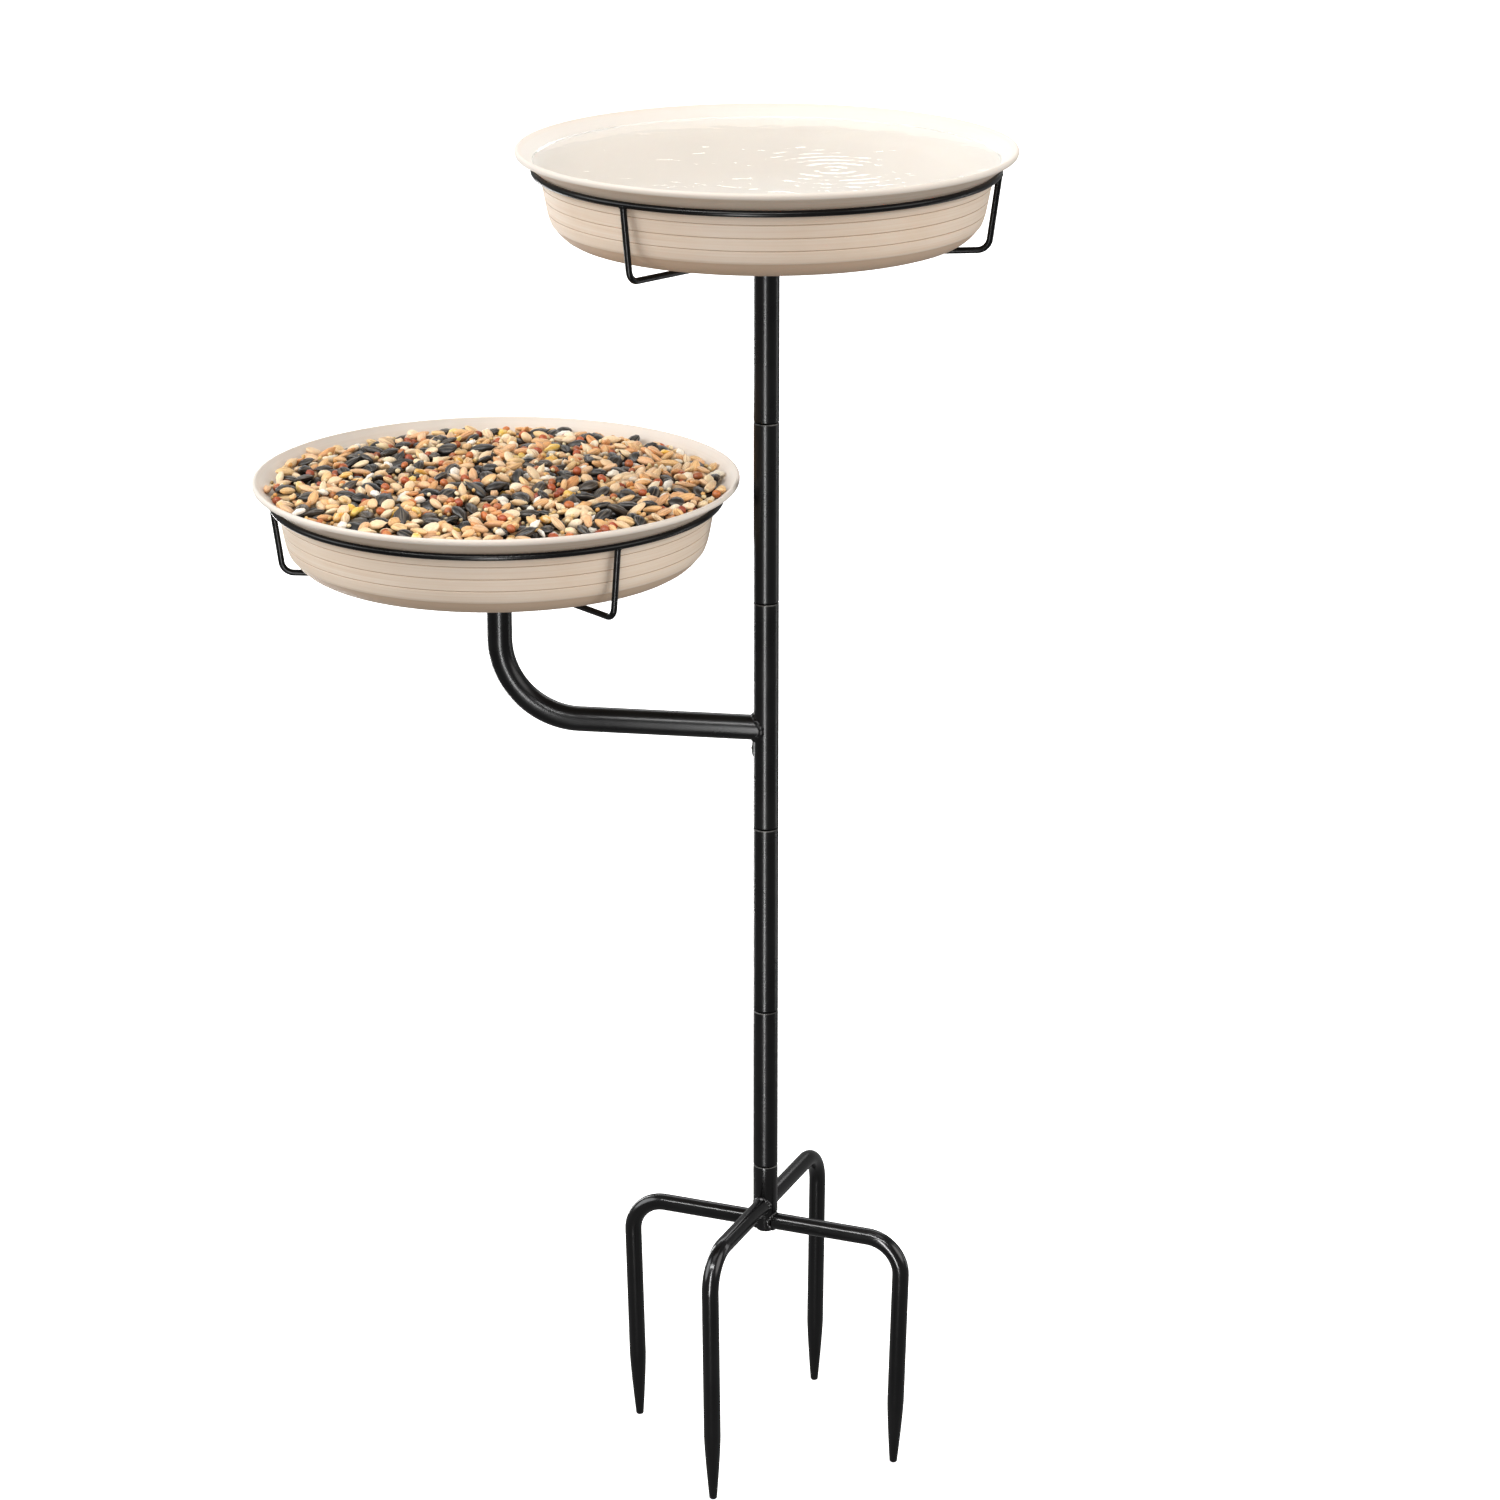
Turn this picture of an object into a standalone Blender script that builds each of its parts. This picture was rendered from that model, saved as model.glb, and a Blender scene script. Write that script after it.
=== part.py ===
"""A two-tier bird bath and seed feeder on a plug-together steel pole.

A four-prong ground fork carries five round tubes. Each tube's swaged lower end plugs into the tube
below it. The middle one has a bent side arm welded to it. The pole's top and the arm's end each
hold a wire cradle, whose collar plugs in the same way, and a plastic tray hangs in each cradle's
ring by its flared lip.

Metres, +Z up. The origin is the centre of the fork's flat underside, on the pole's axis, where the
fork meets the soil. The side arm reaches along -X.
"""

import math

import bmesh
import bpy
from mathutils import Matrix, Vector

MM = 0.001

# What touches, rests on or slides in a neighbour keeps this gap to it.
FIT_GAP = 0.3 * MM

# Pole tube, and the swaged end that plugs into the tube below
TUBE_DIAMETER = 16.0 * MM
TUBE_WALL = 1.0 * MM
SPIGOT_LENGTH = 25.0 * MM
SHOULDER_HEIGHT = 1.3 * MM

# Exposed lengths of the five tubes, from the hub upwards
TUBE_LENGTHS = {
    "pole_tube_bottom": 108.7 * MM,
    "pole_tube_lower": 125.0 * MM,
    "arm_tube": 149.5 * MM,
    "pole_tube_upper": 115.8 * MM,
    "pole_tube_top": 100.0 * MM,
}

# Ground fork: hub socket, the core that closes it, and four bent prongs in two crossed pairs
HUB_SOCKET_LENGTH = 33.0 * MM
HUB_CORE_OVERLAP = 6.5 * MM
CORE_EDGE_ROUND = 2.6 * MM
PRONG_DIAMETER = 11.0 * MM
PRONG_UNDERSIDE = 1.6 * MM
PRONG_PAIR_GAP = 1.2 * MM
PRONG_SPREAD = 95.5 * MM
PRONG_BEND_RADIUS = 23.0 * MM
PRONG_LEAN = math.radians(1.5)
PRONG_DEPTH = 153.0 * MM
PRONG_TAPER_LENGTH = 46.0 * MM
PRONG_TIP_DIAMETER = 4.6 * MM
PRONG_TURN = math.radians(-13.0)

# Side arm
ARM_HEIGHT_ON_TUBE = 66.8 * MM
ARM_BEND_RADIUS = 51.0 * MM
ARM_RISE = 86.3 * MM
TRAY_TO_POLE = 10.5 * MM

# Tray: a moulded saucer with a flared lip
TRAY_DIAMETER = 305.0 * MM
TRAY_DEPTH = 54.0 * MM
TRAY_WALL = 2.4 * MM
LIP_REACH = 14.6 * MM
LIP_EDGE_DROP = 2.8 * MM
LIP_EDGE_REACH = 1.4 * MM
LIP_DROP = 11.2 * MM
NECK_REACH = 1.3 * MM
NECK_DROP = 2.0 * MM
WALL_DRAFT = 3.9 * MM
BASE_CURVE_HEIGHT = 20.0 * MM
BASE_CURVE_REACH = 16.0 * MM

# Cradle: a wire ring and three bent wire legs on a collar
WIRE_DIAMETER = 4.0 * MM
RING_TO_NECK = 1.1 * MM
LEG_COUNT = 3
LEG_SLANT = 6.0 * MM
LEG_BEND_RADIUS = 8.0 * MM
LEG_RISE_ANGLE = math.radians(2.5)
LEG_BELOW_TRAY = 5.5 * MM
COLLAR_HEIGHT = 10.0 * MM
COLLAR_WIRE_HEIGHT = 5.6 * MM
COLLAR_TOP_THICKNESS = 2.5 * MM
COLLAR_EDGE = 0.8 * MM
UPPER_CRADLE_TURN = math.radians(2.5)
LOWER_CRADLE_TURN = math.radians(-46.7)

# Facets
TUBE_STEPS = 24
TRAY_STEPS = 48
RING_STEPS = 60
WIRE_SIDES = 8
PRONG_SIDES = 12
ARM_SIDES = 20
BEND_STEPS = 7
BASE_CURVE_STEPS = 5
TAPER_STEPS = 5

# Worked out from the sizes above
TUBE_RADIUS = TUBE_DIAMETER / 2
BORE_RADIUS = TUBE_RADIUS - TUBE_WALL
SPIGOT_RADIUS = BORE_RADIUS - FIT_GAP
PRONG_RADIUS = PRONG_DIAMETER / 2
WIRE_RADIUS = WIRE_DIAMETER / 2
RIM_RADIUS = TRAY_DIAMETER / 2
NECK_RADIUS = RIM_RADIUS - LIP_REACH
RING_RADIUS = NECK_RADIUS + RING_TO_NECK + WIRE_RADIUS
LOWER_PRONG_HEIGHT = PRONG_UNDERSIDE + PRONG_RADIUS
UPPER_PRONG_HEIGHT = LOWER_PRONG_HEIGHT + PRONG_DIAMETER + PRONG_PAIR_GAP
HUB_SOCKET_BOTTOM = UPPER_PRONG_HEIGHT - PRONG_RADIUS
HUB_SOCKET_TOP = HUB_SOCKET_BOTTOM + HUB_SOCKET_LENGTH
ARM_REACH = RIM_RADIUS + TUBE_RADIUS + TRAY_TO_POLE


def clear_scene():
    for obj in list(bpy.data.objects):
        bpy.data.objects.remove(obj)


def new_collection(name):
    collection = bpy.data.collections.new(name)
    bpy.context.scene.collection.children.link(collection)
    return collection


def new_material(name, colour, roughness, metallic=0.0):
    material = bpy.data.materials.new(name)
    material.use_nodes = True
    surface = material.node_tree.nodes["Principled BSDF"]
    surface.inputs["Base Color"].default_value = (*colour, 1.0)
    surface.inputs["Roughness"].default_value = roughness
    surface.inputs["Metallic"].default_value = metallic
    return material


def add_object(name, data, material, collection, parent=None):
    obj = bpy.data.objects.new(name, data)
    obj.data.materials.append(material)
    collection.objects.link(obj)
    obj.parent = parent
    return obj


def add_empty(name, location, turn, collection):
    empty = bpy.data.objects.new(name, None)
    empty.location = location
    empty.rotation_euler.z = turn
    empty.empty_display_size = 0.03
    collection.objects.link(empty)
    return empty


def shade_round(mesh):
    mesh.shade_smooth()
    mesh.set_sharp_from_angle(angle=math.radians(35))


def profile_mesh(name, profile, closed):
    """A line of (radius, height) points in the XZ plane."""
    mesh = bpy.data.meshes.new(name)
    count = len(profile)
    edges = [(i, i + 1) for i in range(count - 1)]
    if closed:
        edges.append((count - 1, 0))
    mesh.from_pydata([(radius, 0.0, height) for radius, height in profile], edges, [])
    return mesh


def turned(name, profile, closed, steps, material, collection, parent=None):
    """A shape turned on its own Z axis; the profile runs down its outer side."""
    obj = add_object(name, profile_mesh(name, profile, closed), material, collection, parent)
    screw = obj.modifiers.new("Turn", "SCREW")
    screw.axis = "Z"
    screw.angle = 2 * math.pi
    screw.steps = steps
    screw.render_steps = steps
    screw.use_merge_vertices = True
    screw.merge_threshold = 0.00001
    screw.use_smooth_shade = True
    return obj


def arc(centre, start, end, steps):
    """Points that turn from start to end about centre, by the shorter way."""
    first = start - centre
    last = end - centre
    turn = first.angle(last)
    axis = first.cross(last).normalized()
    return [centre + Matrix.Rotation(turn * i / steps, 3, axis) @ first for i in range(steps + 1)]


def bent_path(start, corner, end, bend_radius, steps=BEND_STEPS):
    """Two straight runs that meet at corner, joined by a bend."""
    back = (start - corner).normalized()
    ahead = (end - corner).normalized()
    half_angle = back.angle(ahead) / 2
    setback = bend_radius / math.tan(half_angle)
    centre = corner + (back + ahead).normalized() * bend_radius / math.sin(half_angle)
    bend = arc(centre, corner + back * setback, corner + ahead * setback, steps)
    return [start, *bend, end]


def rod(name, points, radii, sides, material, collection, parent=None):
    """A round bar through points, with one radius or one for each point."""
    if not isinstance(radii, list):
        radii = [radii] * len(points)
    curve = bpy.data.curves.new(name, "CURVE")
    curve.dimensions = "3D"
    curve.bevel_depth = radii[0]
    curve.bevel_resolution = sides // 2 - 2
    curve.use_fill_caps = True
    spline = curve.splines.new("POLY")
    spline.points.add(len(points) - 1)
    for spot, point, radius in zip(spline.points, points, radii):
        spot.co = (*point, 1.0)
        spot.radius = radius / radii[0]
    return add_object(name, curve, material, collection, parent)


def as_mesh(obj, collection):
    """Swaps a curve object for a mesh object with welded caps and the same name and place."""
    bpy.context.view_layer.update()
    evaluated = obj.evaluated_get(bpy.context.evaluated_depsgraph_get())
    mesh = bpy.data.meshes.new_from_object(evaluated)
    work = bmesh.new()
    work.from_mesh(mesh)
    bmesh.ops.remove_doubles(work, verts=work.verts, dist=0.00001)
    bmesh.ops.recalc_face_normals(work, faces=work.faces)
    work.to_mesh(mesh)
    work.free()
    shade_round(mesh)
    name, place, parent = obj.name, obj.matrix_world.copy(), obj.parent
    bpy.data.objects.remove(obj)
    solid = bpy.data.objects.new(name, mesh)
    collection.objects.link(solid)
    solid.parent = parent
    solid.matrix_world = place
    return solid


def hide_cutter(cutter):
    cutter.hide_render = True
    cutter.display_type = "WIRE"


def cylinder_cutter(name, radius, length, height, collection, parent):
    """An upright cylinder on its parent's Z axis, centred at height."""
    mesh = bpy.data.meshes.new(name)
    work = bmesh.new()
    bmesh.ops.create_cone(
        work,
        cap_ends=True,
        segments=2 * TUBE_STEPS,
        radius1=radius,
        radius2=radius,
        depth=length,
        matrix=Matrix.Translation((0, 0, height)),
    )
    work.to_mesh(mesh)
    work.free()
    cutter = bpy.data.objects.new(name, mesh)
    collection.objects.link(cutter)
    cutter.parent = parent
    hide_cutter(cutter)
    return cutter


def cut(obj, cutter):
    boolean = obj.modifiers.new("Cut_" + cutter.name, "BOOLEAN")
    boolean.operation = "DIFFERENCE"
    boolean.object = cutter


def tube_profile(length, spigot_length):
    """A tube with its swaged spigot, from the rim it stands on (height 0) to its own rim."""
    shoulder = FIT_GAP
    spigot_bore = SPIGOT_RADIUS - TUBE_WALL
    return [
        (TUBE_RADIUS, length),
        (TUBE_RADIUS, shoulder + SHOULDER_HEIGHT),
        (SPIGOT_RADIUS, shoulder),
        (SPIGOT_RADIUS, -spigot_length),
        (spigot_bore, -spigot_length),
        (spigot_bore, shoulder + SHOULDER_HEIGHT),
        (BORE_RADIUS, shoulder + 2 * SHOULDER_HEIGHT),
        (BORE_RADIUS, length),
    ]


def make_hub(steel, parts, empty):
    """The socket that holds the pole, on a core rod whose flat end is the fork's underside."""
    socket = [
        (TUBE_RADIUS, HUB_SOCKET_TOP),
        (TUBE_RADIUS, HUB_SOCKET_BOTTOM),
        (BORE_RADIUS, HUB_SOCKET_BOTTOM),
        (BORE_RADIUS, HUB_SOCKET_TOP),
    ]
    turned("hub_socket", socket, True, TUBE_STEPS, steel, parts, empty)
    core_top = HUB_SOCKET_BOTTOM + HUB_CORE_OVERLAP
    flat_radius = SPIGOT_RADIUS - CORE_EDGE_ROUND
    edge_steps = 4
    edge = [
        (
            flat_radius + CORE_EDGE_ROUND * math.cos(math.pi / 2 * i / edge_steps),
            CORE_EDGE_ROUND * (1 - math.sin(math.pi / 2 * i / edge_steps)),
        )
        for i in range(edge_steps + 1)
    ]
    core = [(0.0, core_top), (SPIGOT_RADIUS, core_top), *edge, (0.0, 0.0)]
    turned("hub_core", core, False, TUBE_STEPS, steel, parts, empty)


def prong_line(height):
    """A prong's centreline along +X, and its radius at each point, from the pole's axis out and down."""
    start = Vector((0.0, 0.0, height))
    corner = Vector((PRONG_SPREAD, 0.0, height))
    down = Vector((-math.sin(PRONG_LEAN), 0.0, -math.cos(PRONG_LEAN)))
    leg = (PRONG_DEPTH + height) / math.cos(PRONG_LEAN)
    tip = corner + down * leg
    points = bent_path(start, corner, tip - down * PRONG_TAPER_LENGTH, PRONG_BEND_RADIUS)
    radii = [PRONG_RADIUS] * len(points)
    tip_radius = PRONG_TIP_DIAMETER / 2
    for i in range(1, TAPER_STEPS + 1):
        share = i / TAPER_STEPS
        points.append(tip - down * PRONG_TAPER_LENGTH * (1 - share))
        radii.append(PRONG_RADIUS + (tip_radius - PRONG_RADIUS) * share**1.5)
    return points, radii


def make_prongs(steel, parts, cutters, empty):
    """Two prongs butt against the socket and two, lower and at right angles, against the core."""
    pairs = (
        (UPPER_PRONG_HEIGHT, TUBE_RADIUS, (("prong_front", -math.pi / 2), ("prong_back", math.pi / 2))),
        (LOWER_PRONG_HEIGHT, SPIGOT_RADIUS, (("prong_right", 0.0), ("prong_left", math.pi))),
    )
    for height, hub_radius, prongs in pairs:
        cutter = cylinder_cutter(
            f"cope_{round(height / MM)}",
            hub_radius + FIT_GAP,
            4 * PRONG_DIAMETER,
            height,
            cutters,
            empty,
        )
        for name, turn in prongs:
            points, radii = prong_line(height)
            prong = rod(name, points, radii, PRONG_SIDES, steel, parts, empty)
            prong.rotation_euler.z = turn
            prong = as_mesh(prong, parts)
            cut(prong, cutter)


def make_pole(steel, parts):
    """The five tubes, each on the one below it. Returns the height of each one's rim."""
    rim = HUB_SOCKET_TOP
    rims = {}
    for name, length in TUBE_LENGTHS.items():
        tube = turned(name, tube_profile(length, SPIGOT_LENGTH), True, TUBE_STEPS, steel, parts)
        tube.location.z = rim
        rim += length
        rims[name] = rim
    return rims


def arm_line(start_x, end_rise):
    """The arm's centreline, from start_x along -X and up, level with the arm's own height."""
    corner = Vector((-ARM_REACH, 0.0, 0.0))
    start = Vector((start_x, 0.0, 0.0))
    end = Vector((-ARM_REACH, 0.0, end_rise))
    return bent_path(start, corner, end, ARM_BEND_RADIUS, steps=2 * BEND_STEPS)


def make_arm(steel, parts, cutters, empty):
    """A bent tube, coped to the pole at one end and open at the other for the lower cradle."""
    past_end = 5 * MM
    arm = rod("side_arm", arm_line(0.0, ARM_RISE), TUBE_RADIUS, ARM_SIDES, steel, parts, empty)
    arm = as_mesh(arm, parts)
    bore_line = arm_line(past_end, ARM_RISE + past_end)
    bore = rod("arm_bore", bore_line, BORE_RADIUS, ARM_SIDES, steel, cutters, empty)
    bore = as_mesh(bore, cutters)
    hide_cutter(bore)
    cut(arm, bore)
    cope = cylinder_cutter(
        "arm_cope", TUBE_RADIUS + FIT_GAP, 4 * TUBE_DIAMETER, 0.0, cutters, empty
    )
    cut(arm, cope)


def leg_heights():
    """Heights over the collar's foot: the leg's lower corner, the tray's rim and the ring."""
    run = RING_RADIUS - LEG_SLANT - TUBE_RADIUS - FIT_GAP
    corner = COLLAR_WIRE_HEIGHT + run * math.tan(LEG_RISE_ANGLE)
    rim = corner + LEG_BELOW_TRAY + TRAY_DEPTH
    lip_low = Vector((NECK_RADIUS + NECK_REACH, -LIP_DROP))
    lip_high = Vector((RIM_RADIUS - LIP_EDGE_REACH, -LIP_EDGE_DROP))
    slope = (lip_high.y - lip_low.y) / (lip_high.x - lip_low.x)
    lip_over_ring = lip_low.y + slope * (RING_RADIUS - lip_low.x)
    ring = rim + lip_over_ring - (WIRE_RADIUS + FIT_GAP) * math.hypot(1.0, slope)
    return corner, rim, ring


def make_cradle(tier, turn, steel, parts, empty):
    """Collar, ring and legs of one cradle, standing on the rim of the tube that holds it."""
    top = FIT_GAP + COLLAR_HEIGHT
    inside = SPIGOT_RADIUS - TUBE_WALL
    collar = [
        (0.0, top),
        (TUBE_RADIUS - COLLAR_EDGE, top),
        (TUBE_RADIUS, top - COLLAR_EDGE),
        (TUBE_RADIUS, FIT_GAP),
        (SPIGOT_RADIUS, FIT_GAP),
        (SPIGOT_RADIUS, -SPIGOT_LENGTH),
        (inside, -SPIGOT_LENGTH),
        (inside, top - COLLAR_TOP_THICKNESS),
        (0.0, top - COLLAR_TOP_THICKNESS),
    ]
    turned(f"{tier}_collar", collar, False, TUBE_STEPS, steel, parts, empty)
    corner_height, _, ring_height = leg_heights()

    bpy.ops.mesh.primitive_torus_add(
        major_segments=RING_STEPS,
        minor_segments=WIRE_SIDES,
        major_radius=RING_RADIUS,
        minor_radius=WIRE_RADIUS,
    )
    ring = bpy.context.object
    ring.name = f"{tier}_ring"
    ring.data.materials.append(steel)
    shade_round(ring.data)
    for collection in list(ring.users_collection):
        collection.objects.unlink(ring)
    parts.objects.link(ring)
    ring.parent = empty
    ring.location.z = ring_height

    foot = Vector((TUBE_RADIUS + FIT_GAP, 0.0, COLLAR_WIRE_HEIGHT))
    corner = Vector((RING_RADIUS - LEG_SLANT, 0.0, corner_height))
    ring_middle = Vector((RING_RADIUS, 0.0, ring_height))
    upward = (ring_middle - corner).normalized()
    end_lift = WIRE_RADIUS * upward.x
    leg_end = ring_middle - upward * (WIRE_RADIUS + end_lift + FIT_GAP)
    points = bent_path(foot, corner, leg_end, LEG_BEND_RADIUS)
    for i in range(LEG_COUNT):
        leg = rod(f"{tier}_leg_{i + 1}", points, WIRE_RADIUS, WIRE_SIDES, steel, parts, empty)
        leg.rotation_euler.z = turn + 2 * math.pi * i / LEG_COUNT


def tray_profile():
    """The tray's outer skin from its lip to the middle of its base, with height 0 at the lip's edge."""
    base_radius = NECK_RADIUS - WALL_DRAFT - BASE_CURVE_REACH
    curve_top = BASE_CURVE_HEIGHT - TRAY_DEPTH
    base_curve = []
    for i in range(BASE_CURVE_STEPS + 1):
        angle = math.pi / 2 * i / BASE_CURVE_STEPS
        radius = base_radius + BASE_CURVE_REACH * math.cos(angle)
        base_curve.append((radius, curve_top - BASE_CURVE_HEIGHT * math.sin(angle)))
    return [
        (RIM_RADIUS, 0.0),
        (RIM_RADIUS - LIP_EDGE_REACH, -LIP_EDGE_DROP),
        (NECK_RADIUS + NECK_REACH, -LIP_DROP),
        (NECK_RADIUS, -LIP_DROP - NECK_DROP),
        *base_curve,
        (0.0, -TRAY_DEPTH),
    ]


def make_tray(name, plastic, parts, empty):
    """A shell of even wall, hanging by its lip on the cradle's ring."""
    tray = turned(name, tray_profile(), False, TRAY_STEPS, plastic, parts, empty)
    tray.location.z = leg_heights()[1]
    wall = tray.modifiers.new("Wall", "SOLIDIFY")
    wall.thickness = TRAY_WALL
    wall.offset = -1.0
    wall.use_even_offset = True


def main():
    clear_scene()
    parts = new_collection("bird_feeder_on_pole")
    cutters = new_collection("cutters")
    steel = new_material("black_powder_coat", (0.012, 0.012, 0.013), 0.42, 0.0)
    plastic = new_material("cream_plastic", (0.80, 0.70, 0.57), 0.5)

    fork = add_empty("fork_frame", (0.0, 0.0, 0.0), PRONG_TURN, parts)
    make_hub(steel, parts, fork)
    make_prongs(steel, parts, cutters, fork)
    rims = make_pole(steel, parts)

    arm_height = rims["arm_tube"] - TUBE_LENGTHS["arm_tube"] + ARM_HEIGHT_ON_TUBE
    arm = add_empty("arm_frame", (0.0, 0.0, arm_height), 0.0, parts)
    make_arm(steel, parts, cutters, arm)

    tiers = (
        ("upper", (0.0, 0.0, rims["pole_tube_top"]), UPPER_CRADLE_TURN, "water_tray"),
        ("lower", (-ARM_REACH, 0.0, arm_height + ARM_RISE), LOWER_CRADLE_TURN, "seed_tray"),
    )
    for tier, place, turn, tray in tiers:
        cradle = add_empty(f"{tier}_cradle_frame", place, 0.0, parts)
        make_cradle(tier, turn, steel, parts, cradle)
        make_tray(tray, plastic, parts, cradle)


main()
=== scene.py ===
"""The finished surfaces of a two-tier bird bath and seed feeder on a plug-together steel pole.

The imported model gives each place. Every sub-assembly is a class that holds its own sizes, in
metres, models its pieces with Blender's mesh tools, dresses them in a finish and hands them to the
body that carries them. Heights called "below the rim" run down from a tray's outer lip edge.
"""

import logging
import math
from collections.abc import Callable, Iterator, Sequence
from contextlib import contextmanager
from dataclasses import dataclass, field
from enum import Enum
from functools import partial

import bmesh
import bpy
import numpy as np
from mathutils import Matrix, Vector


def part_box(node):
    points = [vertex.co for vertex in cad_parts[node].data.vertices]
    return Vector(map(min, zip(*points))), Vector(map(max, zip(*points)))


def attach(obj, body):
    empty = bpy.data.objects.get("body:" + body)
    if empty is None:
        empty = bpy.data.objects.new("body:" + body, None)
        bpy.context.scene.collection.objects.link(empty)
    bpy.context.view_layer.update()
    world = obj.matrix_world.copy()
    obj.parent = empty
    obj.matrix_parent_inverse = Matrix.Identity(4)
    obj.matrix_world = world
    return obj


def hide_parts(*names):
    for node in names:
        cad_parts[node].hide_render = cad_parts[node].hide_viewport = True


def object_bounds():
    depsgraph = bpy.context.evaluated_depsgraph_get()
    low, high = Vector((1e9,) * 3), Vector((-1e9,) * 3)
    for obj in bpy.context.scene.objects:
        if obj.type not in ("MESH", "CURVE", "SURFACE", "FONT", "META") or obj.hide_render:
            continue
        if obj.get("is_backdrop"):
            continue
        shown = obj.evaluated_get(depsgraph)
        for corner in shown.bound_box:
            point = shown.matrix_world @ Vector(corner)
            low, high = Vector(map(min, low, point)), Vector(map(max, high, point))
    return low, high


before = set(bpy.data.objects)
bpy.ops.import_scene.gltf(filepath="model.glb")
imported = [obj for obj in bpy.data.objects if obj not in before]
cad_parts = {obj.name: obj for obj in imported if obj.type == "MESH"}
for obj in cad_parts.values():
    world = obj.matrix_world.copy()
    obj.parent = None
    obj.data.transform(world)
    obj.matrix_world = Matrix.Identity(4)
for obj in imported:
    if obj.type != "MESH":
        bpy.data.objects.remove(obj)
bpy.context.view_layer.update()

MM = 0.001
Point = tuple[float, float]
log = logging.getLogger("bird_feeder")


# ---------------------------------------------------------------- mesh tools


def deselect_all() -> None:
    """Leaves nothing selected, so that an operator acts only on what is picked next."""
    bpy.ops.object.select_all(action="DESELECT")


def pick(piece: bpy.types.Object) -> None:
    """Selects one object alone and makes it the active one."""
    deselect_all()
    bpy.context.view_layer.objects.active = piece
    piece.select_set(True)


@contextmanager
def edit_mode(piece: bpy.types.Object) -> Iterator[None]:
    """Opens one piece for editing, with nothing else selected, and closes it again.

    Args:
        piece: The mesh object to edit.

    Yields:
        Nothing. The piece stays open until the block ends.
    """
    pick(piece)
    bpy.ops.object.mode_set(mode="EDIT")
    try:
        yield
    finally:
        bpy.ops.object.mode_set(mode="OBJECT")


def select_where(piece: bpy.types.Object, test: Callable[[Vector], bool]) -> None:
    """Selects the vertices of a piece in edit mode that pass a test of their place.

    Args:
        piece: The mesh object, in edit mode.
        test: Takes a vertex's place and says whether it is wanted.
    """
    bpy.ops.mesh.select_mode(type="VERT")
    work = bmesh.from_edit_mesh(piece.data)
    for vertex in work.verts:
        vertex.select = bool(test(vertex.co))
    work.select_flush_mode()
    bmesh.update_edit_mesh(piece.data)


def named(piece: bpy.types.Object, name: str) -> bpy.types.Object:
    """Gives an object and its mesh one name."""
    piece.name = name
    piece.data.name = name
    return piece


def apply_place(piece: bpy.types.Object) -> None:
    """Moves an object's place, turn and scale into its mesh."""
    pick(piece)
    bpy.ops.object.transform_apply(location=True, rotation=True, scale=True)


def smooth(piece: bpy.types.Object, degrees: float = 35.0) -> None:
    """Shades a piece smooth, with a crease wherever two faces meet more sharply than an angle."""
    pick(piece)
    bpy.ops.object.shade_smooth_by_angle(angle=math.radians(degrees))


def weld_and_orient(threshold: float = 0.001 * MM) -> None:
    """In edit mode, merges doubles over the whole mesh, then turns its faces outwards."""
    bpy.ops.mesh.select_all(action="SELECT")
    bpy.ops.mesh.remove_doubles(threshold=threshold)
    bpy.ops.mesh.normals_make_consistent(inside=False)


def draw_line(name: str, points: Sequence[Point]) -> bpy.types.Object:
    """Draws a line of edges in the XZ plane, one extruded vertex after another.

    Args:
        name: The new object's name.
        points: (radius, height) of each point in turn.

    Returns:
        The new object, at the origin.
    """
    deselect_all()
    bpy.ops.mesh.primitive_plane_add(size=MM)
    piece = named(bpy.context.object, name)
    with edit_mode(piece):
        bpy.ops.mesh.select_all(action="SELECT")
        bpy.ops.mesh.merge(type="CENTER")
        bpy.ops.mesh.select_all(action="SELECT")
        bpy.ops.transform.translate(value=(points[0][0], 0.0, points[0][1]))
        for before, after in zip(points, points[1:]):
            step = (after[0] - before[0], 0.0, after[1] - before[1])
            bpy.ops.mesh.extrude_vertices_move(TRANSFORM_OT_translate={"value": step})
    return piece


def turned(name: str, points: Sequence[Point], axis: Point, steps: int) -> bpy.types.Object:
    """Spins an outline once round an upright axis and closes its seam and poles.

    Args:
        name: The new object's name.
        points: (radius, height) of the outline's points.
        axis: Where the axis stands, as x and y.
        steps: How many flats the turned shape has.

    Returns:
        The turned piece, at the origin and in its place.
    """
    piece = draw_line(name, points)
    with edit_mode(piece):
        bpy.ops.mesh.select_all(action="SELECT")
        bpy.ops.mesh.spin(
            steps=steps, angle=2 * math.pi, center=(0, 0, 0), axis=(0, 0, 1), use_auto_merge=True
        )
        weld_and_orient()
    piece.location = (axis[0], axis[1], 0.0)
    apply_place(piece)
    smooth(piece)
    return piece


def rounded(radius: float, height: float, soft: float, steps: int) -> list[Point]:
    """A quarter circle that rounds an outer edge, from the wall to the end's face.

    Args:
        radius: The wall's radius.
        height: The height of the end's face.
        soft: The rounding's radius, negative where the face looks down.
        steps: How many flats it has.

    Returns:
        (radius, height) of its points.
    """
    turns = [math.pi / 2 * i / steps for i in range(steps + 1)]
    return [
        (radius - abs(soft) * (1 - math.cos(turn)), height - soft * (1 - math.sin(turn)))
        for turn in turns
    ]


def fill_loops() -> None:
    """In edit mode, closes each open end of a piece with a face."""
    bpy.ops.mesh.select_all(action="DESELECT")
    bpy.ops.mesh.select_mode(type="EDGE")
    bpy.ops.mesh.select_non_manifold(extend=False)
    bpy.ops.mesh.fill_holes(sides=0)
    weld_and_orient()


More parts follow.
